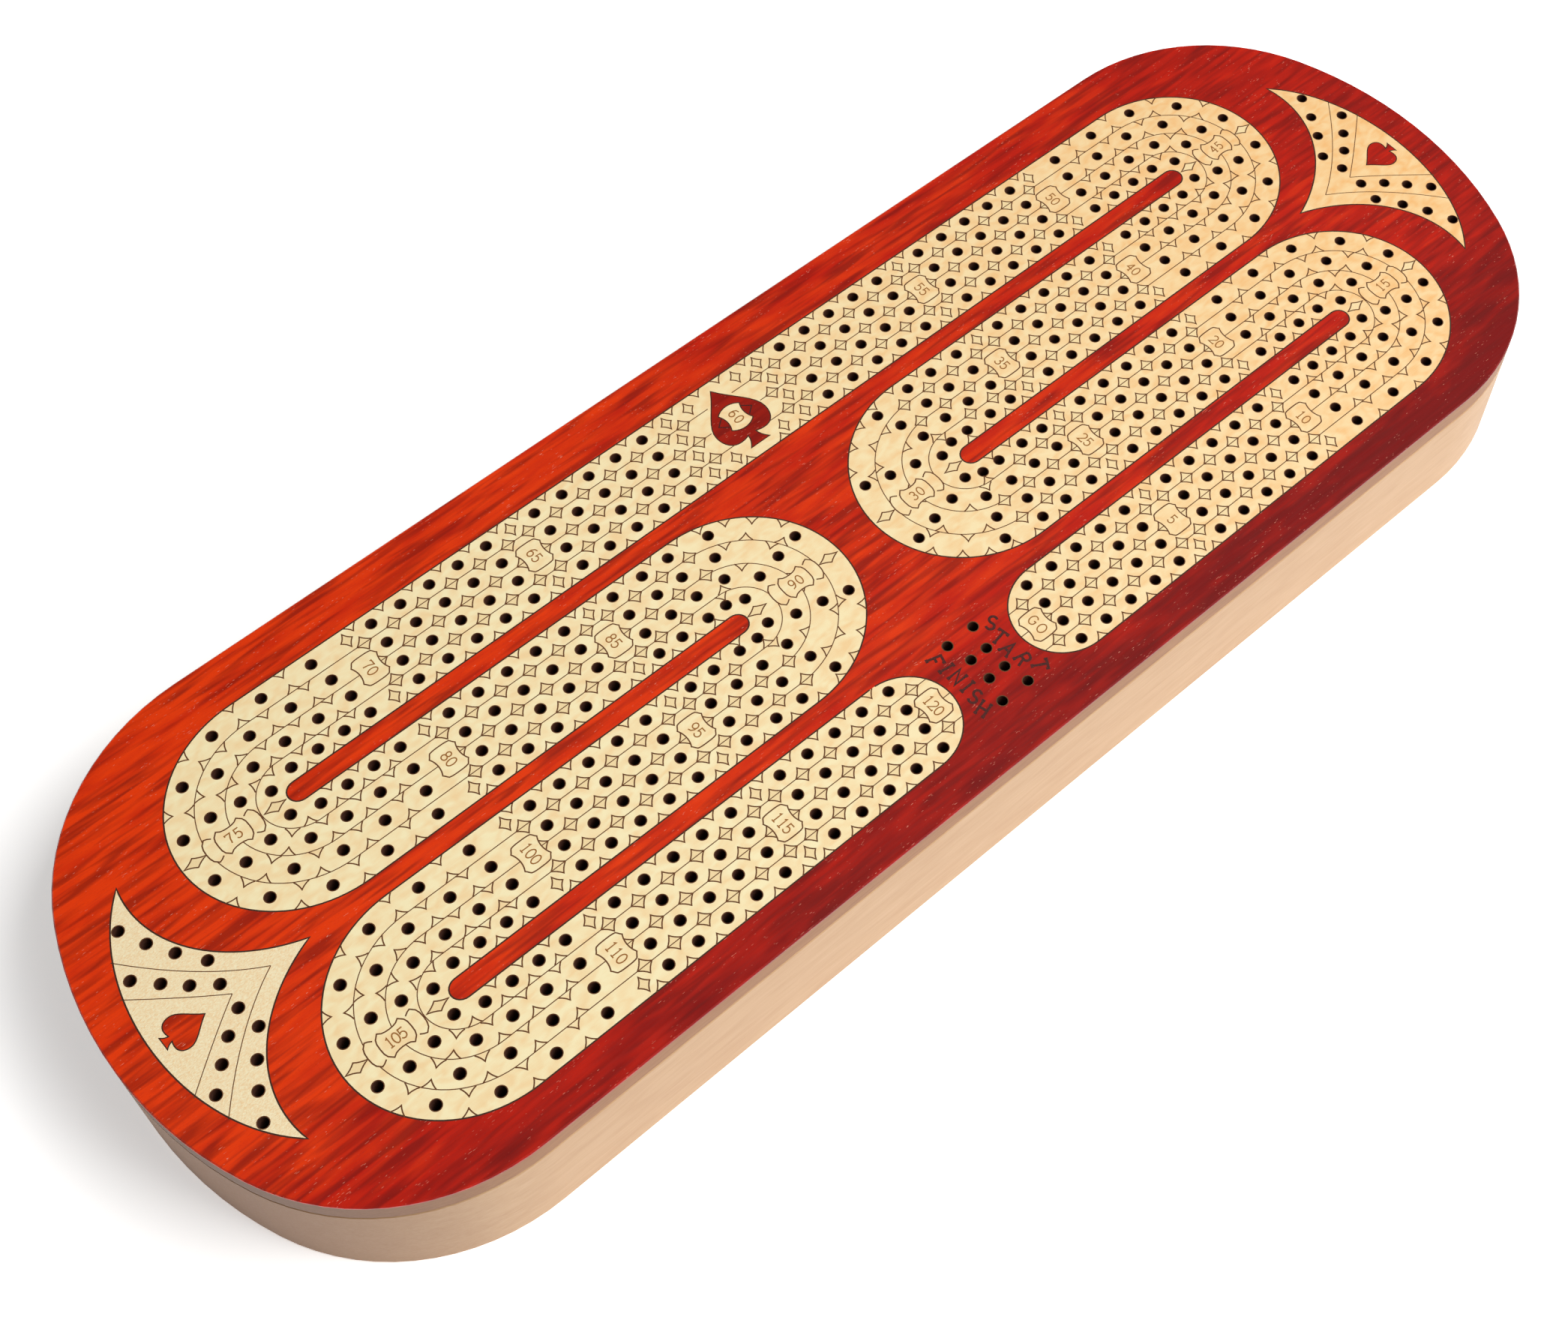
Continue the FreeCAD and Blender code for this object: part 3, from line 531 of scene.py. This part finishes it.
def starOutline(halfWidth, halfHeight, sag):
    tips = [(halfWidth, 0), (0, halfHeight), (-halfWidth, 0), (0, -halfHeight)]
    points = []
    for i in range(4):
        points += hollow(tips[i], tips[(i + 1) % 4], sag)
    return points


def notchOutline(halfBase, depth, sag):
    left, tip, right = (-halfBase, 0), (0, -depth), (halfBase, 0)
    return hollow(left, tip, sag) + hollow(tip, right, sag) + [right]


starShapes = {
    "lattice": starOutline(1.85, 1.95, 0.16),
    "single": starOutline(1.45, 1.95, 0.18),
    "long": starOutline(2.65, 1.3, 0.16),
    "notch": notchOutline(1.6, 1.9, 0.15),
}


def addStar(kind, x, y):
    outline = [(x + px, y + py) for px, py in starShapes[kind]]
    starFields.plate(outline)
    starLines.strip(outline, lineWidths["star"], closed=True)


def addNotch(x, y, facing):
    # its base lies on the line and its tip points against facing
    starLines.strip(turned(starShapes["notch"], (x, y), facing), lineWidths["star"])


def mirrorX(points):
    return [(-x, y) for x, y in points]


# the charred joint between the maple ribbon and the bloodwood

def trackEdge():
    half, wide, slim = plan["ribbonHalf"], plan["turnEdge"], plan["dividerHalf"]
    turn, middle, slot, cap = plan["turnX"], plan["middleX"], plan["dividerX"], plan["capX"]
    outer = arcPoints(cap, lanes[0], half, 90, 270, 30)
    outer += arcPoints(turn, nearTurn, wide, -90, 90, 48)
    outer += arcPoints(slot, middleTurn, slim, -90, -270, 12)
    outer += arcPoints(turn, farTurn, wide, -90, 90, 48)
    inner = arcPoints(turn, farTurn, slim, 90, -90, 12)
    inner += arcPoints(middle, middleTurn, wide, 90, 270, 48)
    inner += arcPoints(turn, nearTurn, slim, 90, -90, 12)
    inner += [(cap, lanes[0] + half)]
    return outer, inner


outerEdge, innerEdge = trackEdge()
jointLines.strip(outerEdge + mirrorX(outerEdge)[::-1][:-1], lineWidths["joint"])
jointLines.strip(innerEdge, lineWidths["joint"])
jointLines.strip(mirrorX(innerEdge), lineWidths["joint"])
farEdge = lanes[3] - plan["ribbonHalf"]
jointLines.strip([(-plan["turnX"], farEdge), (plan["turnX"], farEdge)], lineWidths["joint"])

# crescents, with the hollow edges and the back that the frame's parts have

crescent = {"half": 34.6, "poleX": 187.25, "poleY": 18.2, "length": 40.9, "width": 31.8}
rise = math.degrees(math.asin((crescent["half"] - plan["lanePitch"]) / crescent["width"]))
fall = math.degrees(math.asin(plan["lanePitch"] / crescent["width"]))
ratio = crescent["length"] / crescent["width"]
lowerHollow = arcPoints(plan["turnX"], middleTurn - plan["lanePitch"], crescent["width"],
                        -rise, fall, 30, ratio)
upperHollow = arcPoints(plan["turnX"], middleTurn + plan["lanePitch"], crescent["width"],
                        -fall, rise, 30, ratio)
tip = upperHollow[-1]


def bezierPoints(poles, steps):
    points = []
    for k in range(steps + 1):
        t = k / steps
        weights = [(1 - t) ** 3, 3 * t * (1 - t) ** 2, 3 * t * t * (1 - t), t ** 3]
        points.append(tuple(sum(w * p[axis] for w, p in zip(weights, poles)) for axis in (0, 1)))
    return points


back = bezierPoints([tip, (crescent["poleX"], middleTurn + crescent["poleY"]),
                     (crescent["poleX"], middleTurn - crescent["poleY"]), lowerHollow[0]], 40)
crescentEdge = lowerHollow + upperHollow[1:] + back[1:-1]
for side in (crescentEdge, mirrorX(crescentEdge)):
    jointLines.strip(side, lineWidths["joint"], closed=True)
for apex, via, end in (((155.6, 0), [(162, 4.4), (170, 11.0)], (179.2, 21.4)),
                       ((164.6, 0), [(170, 4.6), (175, 8.6)], (181.9, 13.4))):
    for mirror in (1, -1):
        for arm in (1, -1):
            curve = bezierPoints([apex, (via[0][0], via[0][1] * 0.82), (via[1][0], via[1][1] * 0.9), end], 12)
            vees.strip([(mirror * x, middleTurn + arm * y) for x, y in curve], lineWidths["vee"])


# spades, drawn from the same curves as the frame's parts

spades = {"big": ((0, 33.3), 18.6, 14.4, 0), "right": ((180.4, -1.1), 9.5, 8.2, 90)}


def spadeOutline(base, height, width, degrees):
    half, angle = width / 2, math.radians(degrees)
    sections = [
        [(0.38 * half, 0), (0.18 * half, 0.08 * height), (0.16 * half, 0.17 * height)],
        [(0.16 * half, 0.17 * height), (0.3 * half, 0.145 * height), (0.5 * half, 0.145 * height)],
        [(0.5 * half, 0.145 * height), (0.8 * half, 0.145 * height),
         (half, 0.24 * height), (half, 0.39 * height)],
        [(half, 0.39 * height), (half, 0.58 * height), (0.42 * half, 0.74 * height), (0, height)],
    ]
    right = []
    for poles in sections:
        if len(poles) == 3:  # the same curve with four poles
            a, b, c = poles
            poles = [a, tuple(p + 2 / 3 * (q - p) for p, q in zip(a, b)),
                     tuple(r + 2 / 3 * (q - r) for r, q in zip(c, b)), c]
        right += bezierPoints(poles, 8)[:-1]
    whole = right + [(0, height)] + [(-x, y) for x, y in reversed(right)]
    cosine, sine = math.cos(angle), math.sin(angle)
    return [(base[0] + x * cosine - y * sine, base[1] + x * sine + y * cosine) for x, y in whole]


bigSpade = spadeOutline(*spades["big"])
rightSpade = spadeOutline(*spades["right"])
for outline in (bigSpade, rightSpade, mirrorX(rightSpade)):
    jointLines.strip(outline, lineWidths["inlayJoint"], closed=True)

# lines between the tracks, along every run and round every turn

lineRadii = [8.5, 14.5, 20.5]
farStarts = {-6: 5.2, 0: 7.3, 6: 3.6}  # where each line of the far lane begins beside the spade
nearStarts = {-6: 12.3, 0: 10.7, 6: 12.3}  # and of the near lane at its rounded end
for mirror in (1, -1):
    for radius in lineRadii:
        offset = radius - lineRadii[1]
        for points in (
            arcPoints(plan["turnX"], nearTurn, radius, -90, 90, 40),
            arcPoints(plan["turnX"], farTurn, radius, -90, 90, 40),
            arcPoints(plan["middleX"], middleTurn, radius, 90, 270, 40),
            [(plan["middleX"], lanes[1] + offset), (plan["turnX"], lanes[1] + offset)],
            [(plan["middleX"], lanes[2] + offset), (plan["turnX"], lanes[2] + offset)],
            [(farStarts[round(offset)], lanes[3] + offset), (plan["turnX"], lanes[3] + offset)],
            [(nearStarts[round(offset)], lanes[0] + offset), (plan["turnX"], lanes[0] + offset)],
        ):
            burnLines.strip([(mirror * x, y) for x, y in points], lineWidths["lane"])

# stars between the holes of the straight runs

starPlaces = {"openEnd": 16.5, "openEndMiddle": 18.1, "besideSpade": (16.6, 10.9), "spadeRows": 13.5,
              "spadeEdges": 7.1, "spadeNotchFar": 3.1, "spadeNotchNear": 5.0, "endTurns": (154.8, 135.5),
              "middleTurns": (8.6, 29.3)}
firstColumn = plan["firstHole"] - plan["pegPitch"] / 2
groupColumns = [[firstColumn + group * plan["groupPitch"] + k * plan["pegPitch"] for k in range(6)]
                for group in (0, 1)]
for mirror in (1, -1):
    for lane in range(4):
        columns = list(groupColumns[1])
        if lane in (0, 3):
            columns += groupColumns[0][1:]
        for x in columns:
            for offset in (-6, 0, 6):
                addStar("lattice", mirror * x, lanes[lane] + offset)
            addNotch(mirror * x, lanes[lane] + plan["ribbonHalf"], (0, 1))
            addNotch(mirror * x, lanes[lane] - plan["ribbonHalf"], (0, -1))
        for x in (plan["labelX"], plan["outerLabelX"]):
            for offset in (-9, 9):
                addStar("single", mirror * x, lanes[lane] + offset)
    # the open ends of the track
    for offset in (-6, 6):
        addStar("lattice", mirror * starPlaces["openEnd"], lanes[0] + offset)
    addStar("lattice", mirror * starPlaces["openEndMiddle"], lanes[0])
    # round the spade
    for x in starPlaces["besideSpade"]:
        for offset in (-6, 0, 6):
            addStar("lattice", mirror * x, lanes[3] + offset)
        addNotch(mirror * x, lanes[3] + plan["ribbonHalf"], (0, 1))
        addNotch(mirror * x, lanes[3] - plan["ribbonHalf"], (0, -1))
    for offset in rowOffsets:
        addStar("single", mirror * starPlaces["spadeRows"], lanes[3] + offset)
    for offset in (-9, 9):
        addStar("single", mirror * starPlaces["spadeEdges"], lanes[3] + offset)
    addNotch(mirror * starPlaces["spadeNotchFar"], lanes[3] + plan["ribbonHalf"], (0, 1))
    addNotch(mirror * starPlaces["spadeNotchNear"], lanes[3] - plan["ribbonHalf"], (0, -1))

# notches at the ends of the cells in the end turns

for radius, gap in zip(trackRadii, plan["turnGaps"]):
    reach = quarterTurn(radius) + plan["turnX"] - plan["turnStart"]
    cell = (reach - gap) / 5
    for k in range(1, 5):
        for edge, inward in ((radius + 3, 1), (radius - 3, -1)):
            share = (reach - k * cell) / quarterTurn(radius)
            if share < 1 and edge < 3:  # none round the tip of a divider
                continue
            if share > 1:
                point = (plan["turnX"] - (share - 1) * quarterTurn(radius), edge)
                facing = (0.0, float(inward))
            else:
                point, facing = onTurn(plan["turnX"], edge, share * quarterTurn(edge))
                facing = (facing[0] * inward, facing[1] * inward)
            for mirror in (1, -1):
                for side in (1, -1):
                    for centre in (nearTurn, farTurn):
                        addNotch(mirror * point[0], centre + side * point[1],
                                 (mirror * facing[0], side * facing[1]))
for mirror in (1, -1):
    for centre in (nearTurn, farTurn):
        for x in starPlaces["endTurns"]:
            addStar("long", mirror * x, centre)

# the turns at the middle: stars on the straight part, then notches by angle round the bend

middleStars = {20.5: [55.1, 47.5, 39.9, 32.2], 14.5: [55.1, 47.5, 39.9, 32.2], 8.5: [55.1, 49.5, 42.4]}
middleEdges = {26.5: [55.1, 47.5, 39.9, 32.3], 2.5: [55.1, 49.6, 43.2, 37.8]}
bendNotches = [  # line radius, degrees from the straight, 1 points inward and -1 outward
    (26.5, 15.4, 1), (26.5, 28.5, 1), (26.5, 41.9, 1), (26.5, 57.1, 1),
    (20.5, 26.3, 1), (20.5, 55.7, 1), (20.5, 39.5, -1), (20.5, 61.5, -1),
    (14.5, 36.5, 1), (14.5, 84.0, -1), (8.5, 11.0, -1), (8.5, 4.0, 1),
]
for mirror in (1, -1):
    for side in (1, -1):
        for radius, places in middleStars.items():
            for x in places:
                addStar("lattice", mirror * x, middleTurn + side * radius)
        for radius, places in middleEdges.items():
            for x in places:
                addNotch(mirror * x, middleTurn + side * radius, (0, side if radius > 10 else -side))
        for radius, degrees, inward in bendNotches:
            angle = math.radians(degrees)
            x = plan["middleX"] - radius * plan["turnStretch"] * math.sin(angle)
            y = radius * math.cos(angle)
            facing = Vector((-math.sin(angle) / plan["turnStretch"], math.cos(angle))).normalized() * inward
            addNotch(mirror * x, middleTurn + side * y, (mirror * facing.x, side * facing.y))
    for x in starPlaces["middleTurns"]:
        addStar("long", mirror * x, middleTurn)


# number plates and their strokes

plateShape = {"halfWidth": 3.3, "shoulder": 2.45, "crownX": 2.4, "crownY": 3.62, "top": 3.82, "waist": 2.6}


def platePoints(shape):
    corner = (shape["halfWidth"], shape["shoulder"])
    crown = bezierPoints([corner, (2.95, 2.75), (2.75, 3.3), (shape["crownX"], shape["crownY"])], 5)
    crown += bezierPoints([(shape["crownX"], shape["crownY"]), (1.7, 3.85), (0.6, shape["top"]),
                           (0, shape["top"])], 4)[1:]
    side = bezierPoints([(corner[0], -corner[1]), (shape["waist"] - 0.1, -1.0), (shape["waist"] - 0.1, 1.0),
                         corner], 10)
    half = side[:-1] + crown + [(-x, y) for x, y in reversed(crown)][1:-1]
    return half + [(-x, -y) for x, y in half]


ribbonShape = {
    "plate": [(3.72, 0), (3.66, 1.3), (3.36, 2.2), (2.45, 3.15), (1.7, 2.62), (0.9, 2.42), (0, 2.36)],
    "tail": [(6.62, 0), (6.52, 1.3), (6.2, 2.3), (5.35, 3.2), (4.7, 2.95), (3.95, 2.45)],
}


def fourWays(points):
    # points run from the x axis to the y axis: mirrored into a closed outline
    upper = points + [(-x, y) for x, y in reversed(points)][1:]
    return upper + [(x, -y) for x, y in reversed(upper)][1:-1]


def sideways(points, centre):
    # drawn upright, then turned a quarter to the right: the top of a letter faces +x
    return [(centre[0] + y, centre[1] - x) for x, y in points]


def oval(cx, cy, rx, ry, start, end, steps=12):
    return [(cx + rx * math.cos(math.radians(start + (end - start) * k / steps)),
             cy + ry * math.sin(math.radians(start + (end - start) * k / steps))) for k in range(steps + 1)]


# every sign is drawn 1 high and about 0.6 wide round its middle, as one or more strokes
signs = {
    "0": [oval(0, 0, 0.28, 0.5, 90, 450, 20)],
    "1": [[(-0.14, 0.34), (0.02, 0.5), (0.02, -0.5)], [(-0.16, -0.5), (0.2, -0.5)]],
    "2": [oval(0, 0.22, 0.26, 0.28, 165, -30, 10) + [(-0.27, -0.5), (0.28, -0.5), (0.28, -0.38)]],
    "3": [oval(-0.02, 0.24, 0.24, 0.26, 150, -90, 10), oval(-0.02, -0.22, 0.28, 0.28, 90, -155, 12)],
    "4": [[(0.12, -0.5), (0.12, 0.5)], [(0.12, 0.5), (-0.28, -0.16), (0.28, -0.16)],
          [(0.0, -0.5), (0.24, -0.5)]],
    "5": [[(0.24, 0.5), (-0.2, 0.5), (-0.22, 0.06)] + oval(-0.03, -0.17, 0.28, 0.32, 125, -150, 12)],
    "6": [oval(0, -0.2, 0.26, 0.3, 90, 450, 16), [(-0.26, -0.2), (-0.24, 0.12), (-0.08, 0.4), (0.2, 0.5)]],
    "7": [[(-0.26, 0.36), (-0.26, 0.5), (0.26, 0.5), (0.04, 0.0), (-0.04, -0.5)]],
    "8": [oval(0, 0.25, 0.22, 0.25, 90, 450, 14), oval(0, -0.24, 0.27, 0.27, 90, 450, 14)],
    "9": [oval(0, 0.2, 0.26, 0.3, -90, 270, 16), [(0.26, 0.2), (0.24, -0.12), (0.08, -0.4), (-0.2, -0.5)]],
    "G": [oval(0, 0, 0.36, 0.5, 40, 330, 16) + [(0.32, 0.0), (0.1, 0.0)]],
    "O": [oval(0, 0, 0.37, 0.5, 90, 450, 20)],
    "S": [oval(0, 0.24, 0.26, 0.25, 30, 270, 10) + oval(0, -0.25, 0.28, 0.25, 90, -150, 10)[1:]],
    "T": [[(-0.34, 0.34), (-0.34, 0.5), (0.34, 0.5), (0.34, 0.34)], [(0, 0.5), (0, -0.5)],
          [(-0.14, -0.5), (0.14, -0.5)]],
    "A": [[(-0.32, -0.5), (0, 0.5), (0.32, -0.5)], [(-0.2, -0.14), (0.2, -0.14)],
          [(-0.44, -0.5), (-0.22, -0.5)], [(0.22, -0.5), (0.44, -0.5)]],
    "R": [[(-0.24, -0.5), (-0.24, 0.5)],
          [(-0.24, 0.5), (0.06, 0.5)] + oval(0.06, 0.26, 0.22, 0.24, 90, -90, 8)[1:] + [(-0.24, 0.02)],
          [(0.04, 0.02), (0.34, -0.5)], [(-0.36, -0.5), (-0.12, -0.5)]],
    "F": [[(-0.24, -0.5), (-0.24, 0.5), (0.3, 0.5), (0.3, 0.36)], [(-0.24, 0.04), (0.12, 0.04)],
          [(-0.36, -0.5), (-0.1, -0.5)]],
    "I": [[(0, -0.5), (0, 0.5)], [(-0.16, 0.5), (0.16, 0.5)], [(-0.16, -0.5), (0.16, -0.5)]],
    "N": [[(-0.3, -0.5), (-0.3, 0.5), (0.3, -0.5), (0.3, 0.5)], [(-0.42, -0.5), (-0.18, -0.5)],
          [(0.18, 0.5), (0.42, 0.5)]],
    "H": [[(-0.28, -0.5), (-0.28, 0.5)], [(0.28, -0.5), (0.28, 0.5)], [(-0.28, 0), (0.28, 0)],
          [(-0.4, 0.5), (-0.16, 0.5)], [(0.16, 0.5), (0.4, 0.5)], [(-0.4, -0.5), (-0.16, -0.5)],
          [(0.16, -0.5), (0.4, -0.5)]],
}


def write(sheet, text, centre, height, pitch, width, upright):
    for k, letter in enumerate(text):
        middle = (k - (len(text) - 1) / 2) * pitch
        for stroke in signs[letter]:
            points = [(middle + x * height, y * height) for x, y in stroke]
            closed = len(points) > 3 and (Vector(points[0]) - Vector(points[-1])).length < 1e-4
            points = points[:-1] if closed else points
            if upright:
                points = [(centre[0] + x, centre[1] + y) for x, y in points]
            else:
                points = sideways(points, centre)
            sheet.strip(points, width, closed=closed)


numberLook = {"height": 2.45, "pitch": 1.85, "pitchOfThree": 1.75, "pitchOfGo": 2.75,
              "turnHeight": 2.35, "turnPitch": 2.0, "turnPitchOfThree": 1.55}
runLabels = []
for x, labels in ((plan["labelX"], ("5", "25", "35", "55")), (-plan["labelX"], ("115", "95", "85", "65")),
                  (plan["outerLabelX"], ("10", "20", "40", "50")),
                  (-plan["outerLabelX"], ("110", "100", "80", "70"))):
    runLabels += [(x, lanes[lane], label) for lane, label in enumerate(labels)]
runLabels += [(15.6, lanes[0], "GO"), (-15.4, lanes[0], "120")]
for x, y, label in runLabels:
    outline = [(x + px, y + py) for px, py in platePoints(plateShape)]
    plates.plate(outline)
    plateLines.strip(outline, lineWidths["plate"], closed=True)
    pitch = numberLook["pitchOfGo" if label == "GO" else "pitchOfThree" if len(label) == 3 else "pitch"]
    write(numbers, label, (x, y), numberLook["height"], pitch, lineWidths["digit"], False)
# the number on the large spade, and the ones in the turns
sixty = {"plateY": 42.5, "starY": 42.6, "numberX": 0.2, "height": 2.4, "pitch": 2.1,
         "star": [(2.9, 1.6), (3.8, 0.9), (4.9, 0), (3.8, -0.9), (2.9, -1.6)]}
write(numbers, "60", (sixty["numberX"], sixty["plateY"]), sixty["height"], sixty["pitch"],
      lineWidths["digit"], False)
turnLabelX, middleLabelX = plan["turnLabelX"], plan["middleLabelX"]
turnLabels = [(turnLabelX, nearTurn, "15"), (turnLabelX, farTurn, "45"), (-turnLabelX, farTurn, "75"),
              (-turnLabelX, nearTurn, "105"), (middleLabelX, middleTurn, "30"),
              (-middleLabelX, middleTurn, "90")]
for x, y, label in turnLabels:
    whole = fourWays(ribbonShape["tail"] + ribbonShape["plate"][2:])
    centre = [(x + px, y + py) for px, py in fourWays(ribbonShape["plate"])]
    plates.plate([(x + px, y + py) for px, py in whole])
    for side in (1, -1):
        ends = [(side * px, py) for px, py in ribbonShape["tail"]]
        whole = [(px, -py) for px, py in reversed(ends)][:-1] + ends
        plateLines.strip([(x + px, y + py) for px, py in whole], lineWidths["plate"])
    plateLines.strip(centre, lineWidths["plate"], closed=True)
    pitch = numberLook["turnPitchOfThree" if len(label) == 3 else "turnPitch"]
    write(numbers, label, (x, y), numberLook["turnHeight"], pitch, lineWidths["digit"], True)

# the plate on the spade, and the two part stars burned beside it

sixtyPlate = [(x, y + sixty["plateY"]) for x, y in (
    bezierPoints([(3.15, -2.55), (2.2, -0.9), (2.2, 0.9), (3.15, 2.55)], 10)
    + bezierPoints([(3.15, 2.55), (1.4, 4.15), (-1.4, 4.15), (-3.15, 2.55)], 12)[1:]
    + bezierPoints([(-3.15, 2.55), (-2.2, 0.9), (-2.2, -0.9), (-3.15, -2.55)], 10)[1:]
    + bezierPoints([(-3.15, -2.55), (-1.4, -4.15), (1.4, -4.15), (3.15, -2.55)], 12)[1:-1])]
jointLines.strip(sixtyPlate, lineWidths["inlayJoint"], closed=True)
for side in (1, -1):
    letters.strip([(side * x, y + sixty["starY"]) for x, y in sixty["star"]], lineWidths["partStar"])

# START and FINISH, fanned between the two ends of the track

# each letter with its place in x and y and its lean in degrees
letterHeight = 3.5
startLetters = [("S", 8.1, -37.6, 24), ("T", 6.9, -41.4, 10), ("A", 6.5, -44.9, 0), ("R", 7.2, -48.8, -14),
                ("T", 9.0, -52.4, -30)]
finishLetters = [("F", -7.9, -36.7, -16), ("I", -7.2, -39.6, -8), ("N", -6.8, -42.8, 0),
                 ("I", -6.7, -46.0, 0), ("S", -7.1, -48.9, 8), ("H", -7.8, -52.3, 16)]
for letter, x, y, lean in startLetters + finishLetters:
    cosine, sine = math.cos(math.radians(lean)), math.sin(math.radians(lean))
    for stroke in signs[letter]:
        points = sideways([(px * letterHeight, py * letterHeight) for px, py in stroke], (0, 0))
        points = [(x + px * cosine - py * sine, y + px * sine + py * cosine) for px, py in points]
        letters.strip(points, lineWidths["letter"])

# a scorched ring round every hole

rimRadius = plan["holeRadius"] + 0.09
for x, y in woodHoles + startHoles:
    rims.strip(oval(x, y, rimRadius, rimRadius, 0, 360, 24)[:-1], lineWidths["rim"], closed=True)

for sheet in (jointLines, burnLines, starFields, starLines, plates, plateLines, numbers, letters, rims, vees):
    sheet.build()
print("face drawn")


# floor, light and camera

stage = {"floor": "#fdfdfd", "glow": 0.5, "size": 4.0, "floorZ": -0.0002, "dimSide": 0.02,
         "brightSide": 0.42}
floorMaterial, tree, place = startMaterial("litAcrylicSheet")
# opal acrylic lit from below, as for product shots: even white with no hard shadow
grainPlace = addNode(tree, "ShaderNodeMapping", Vector=place, Scale=perMm(2, 2, 2))
grain = addNode(tree, "ShaderNodeTexNoise", Vector=grainPlace, Detail=3.0)
colour = addNode(tree, "ShaderNodeMix", {"data_type": "RGBA"}, i0=grain, i6=linear(stage["floor"]),
                 i7=linear("#fafafa"))
finishMaterial(tree, grain, (0.02, 0.00002), Base_Color=colour, Roughness=0.6, IOR=1.49,
               Emission_Color=linear("#ffffff"), Emission_Strength=stage["glow"])
floorMesh = bpy.data.meshes.new("floor")
reach, level = stage["size"], stage["floorZ"]
floorMesh.from_pydata([(-reach, -reach, level), (reach, -reach, level), (reach, reach, level),
                       (-reach, reach, level)], [], [(0, 1, 2, 3)])
floorMesh.materials.append(floorMaterial)
floor = bpy.data.objects.new("floor", floorMesh)
bpy.context.scene.collection.objects.link(floor)

world = bpy.data.worlds.new("studio")
bpy.context.scene.world = world
world.use_nodes = True
background = world.node_tree.nodes["Background"]
skyPlace = addNode(world.node_tree, "ShaderNodeTexCoord").outputs["Generated"]
skyParts = addNode(world.node_tree, "ShaderNodeSeparateXYZ", Vector=skyPlace)
skySide = addNode(world.node_tree, "ShaderNodeMath", {"operation": "SUBTRACT"},
                  i0=skyParts.outputs["X"], i1=skyParts.outputs["Y"])
skyLevel = addNode(world.node_tree, "ShaderNodeMapRange", Value=skySide, i1=-0.6, i2=1.4,
                   i3=stage["dimSide"], i4=stage["brightSide"])  # brighter in front and to the right
world.node_tree.links.new(skyLevel.outputs[0], background.inputs["Color"])

lamps = {
    "frontSoftbox": {"at": (0.5, -0.7, 1.3), "aim": (0.0, 0.0, 0.02), "size": 0.9, "power": 25.8,
                     "tint": "#fffefc"},
}
for name, lamp in lamps.items():
    light = bpy.data.lights.new(name, "AREA")
    light.size = lamp["size"]
    light.energy = lamp["power"]
    light.color = linear(lamp["tint"])[:3]
    holder = bpy.data.objects.new(name, light)
    bpy.context.scene.collection.objects.link(holder)
    holder.location = lamp["at"]
    holder.rotation_euler = (Vector(lamp["aim"]) - Vector(lamp["at"])).to_track_quat("-Z", "Y").to_euler()

cameraSet = {
    "right": (0.73782506, -0.6732729, 0.04814327), "down": (-0.54062435, -0.63215001, -0.55507808),
    "forward": (0.4041528, 0.3835231, -0.83040385), "at": (-0.1929015, -0.2243899, 0.5159657),
    "focal": 3295.91, "middle": (1325.54, 596.25), "frame": (2091, 1764), "sensor": 36.0,
}
camera = bpy.data.cameras.new("camera")
camera.sensor_width = cameraSet["sensor"]
camera.lens = cameraSet["focal"] / cameraSet["frame"][0] * cameraSet["sensor"]
camera.shift_x = -(cameraSet["middle"][0] - cameraSet["frame"][0] / 2) / cameraSet["frame"][0]
camera.shift_y = (cameraSet["middle"][1] - cameraSet["frame"][1] / 2) / cameraSet["frame"][0]
camera.clip_start = 0.01
cameraHolder = bpy.data.objects.new("camera", camera)
bpy.context.scene.collection.objects.link(cameraHolder)
axes = [Vector(cameraSet["right"]), -Vector(cameraSet["down"]), -Vector(cameraSet["forward"])]
turnMatrix = Matrix([[a[i] for a in axes] for i in range(3)]).to_4x4()
cameraHolder.matrix_world = Matrix.Translation(cameraSet["at"]) @ turnMatrix
bpy.context.scene.camera = cameraHolder
bpy.context.scene.view_settings.view_transform = "Standard"  # colours show as they are given
print("stage set")
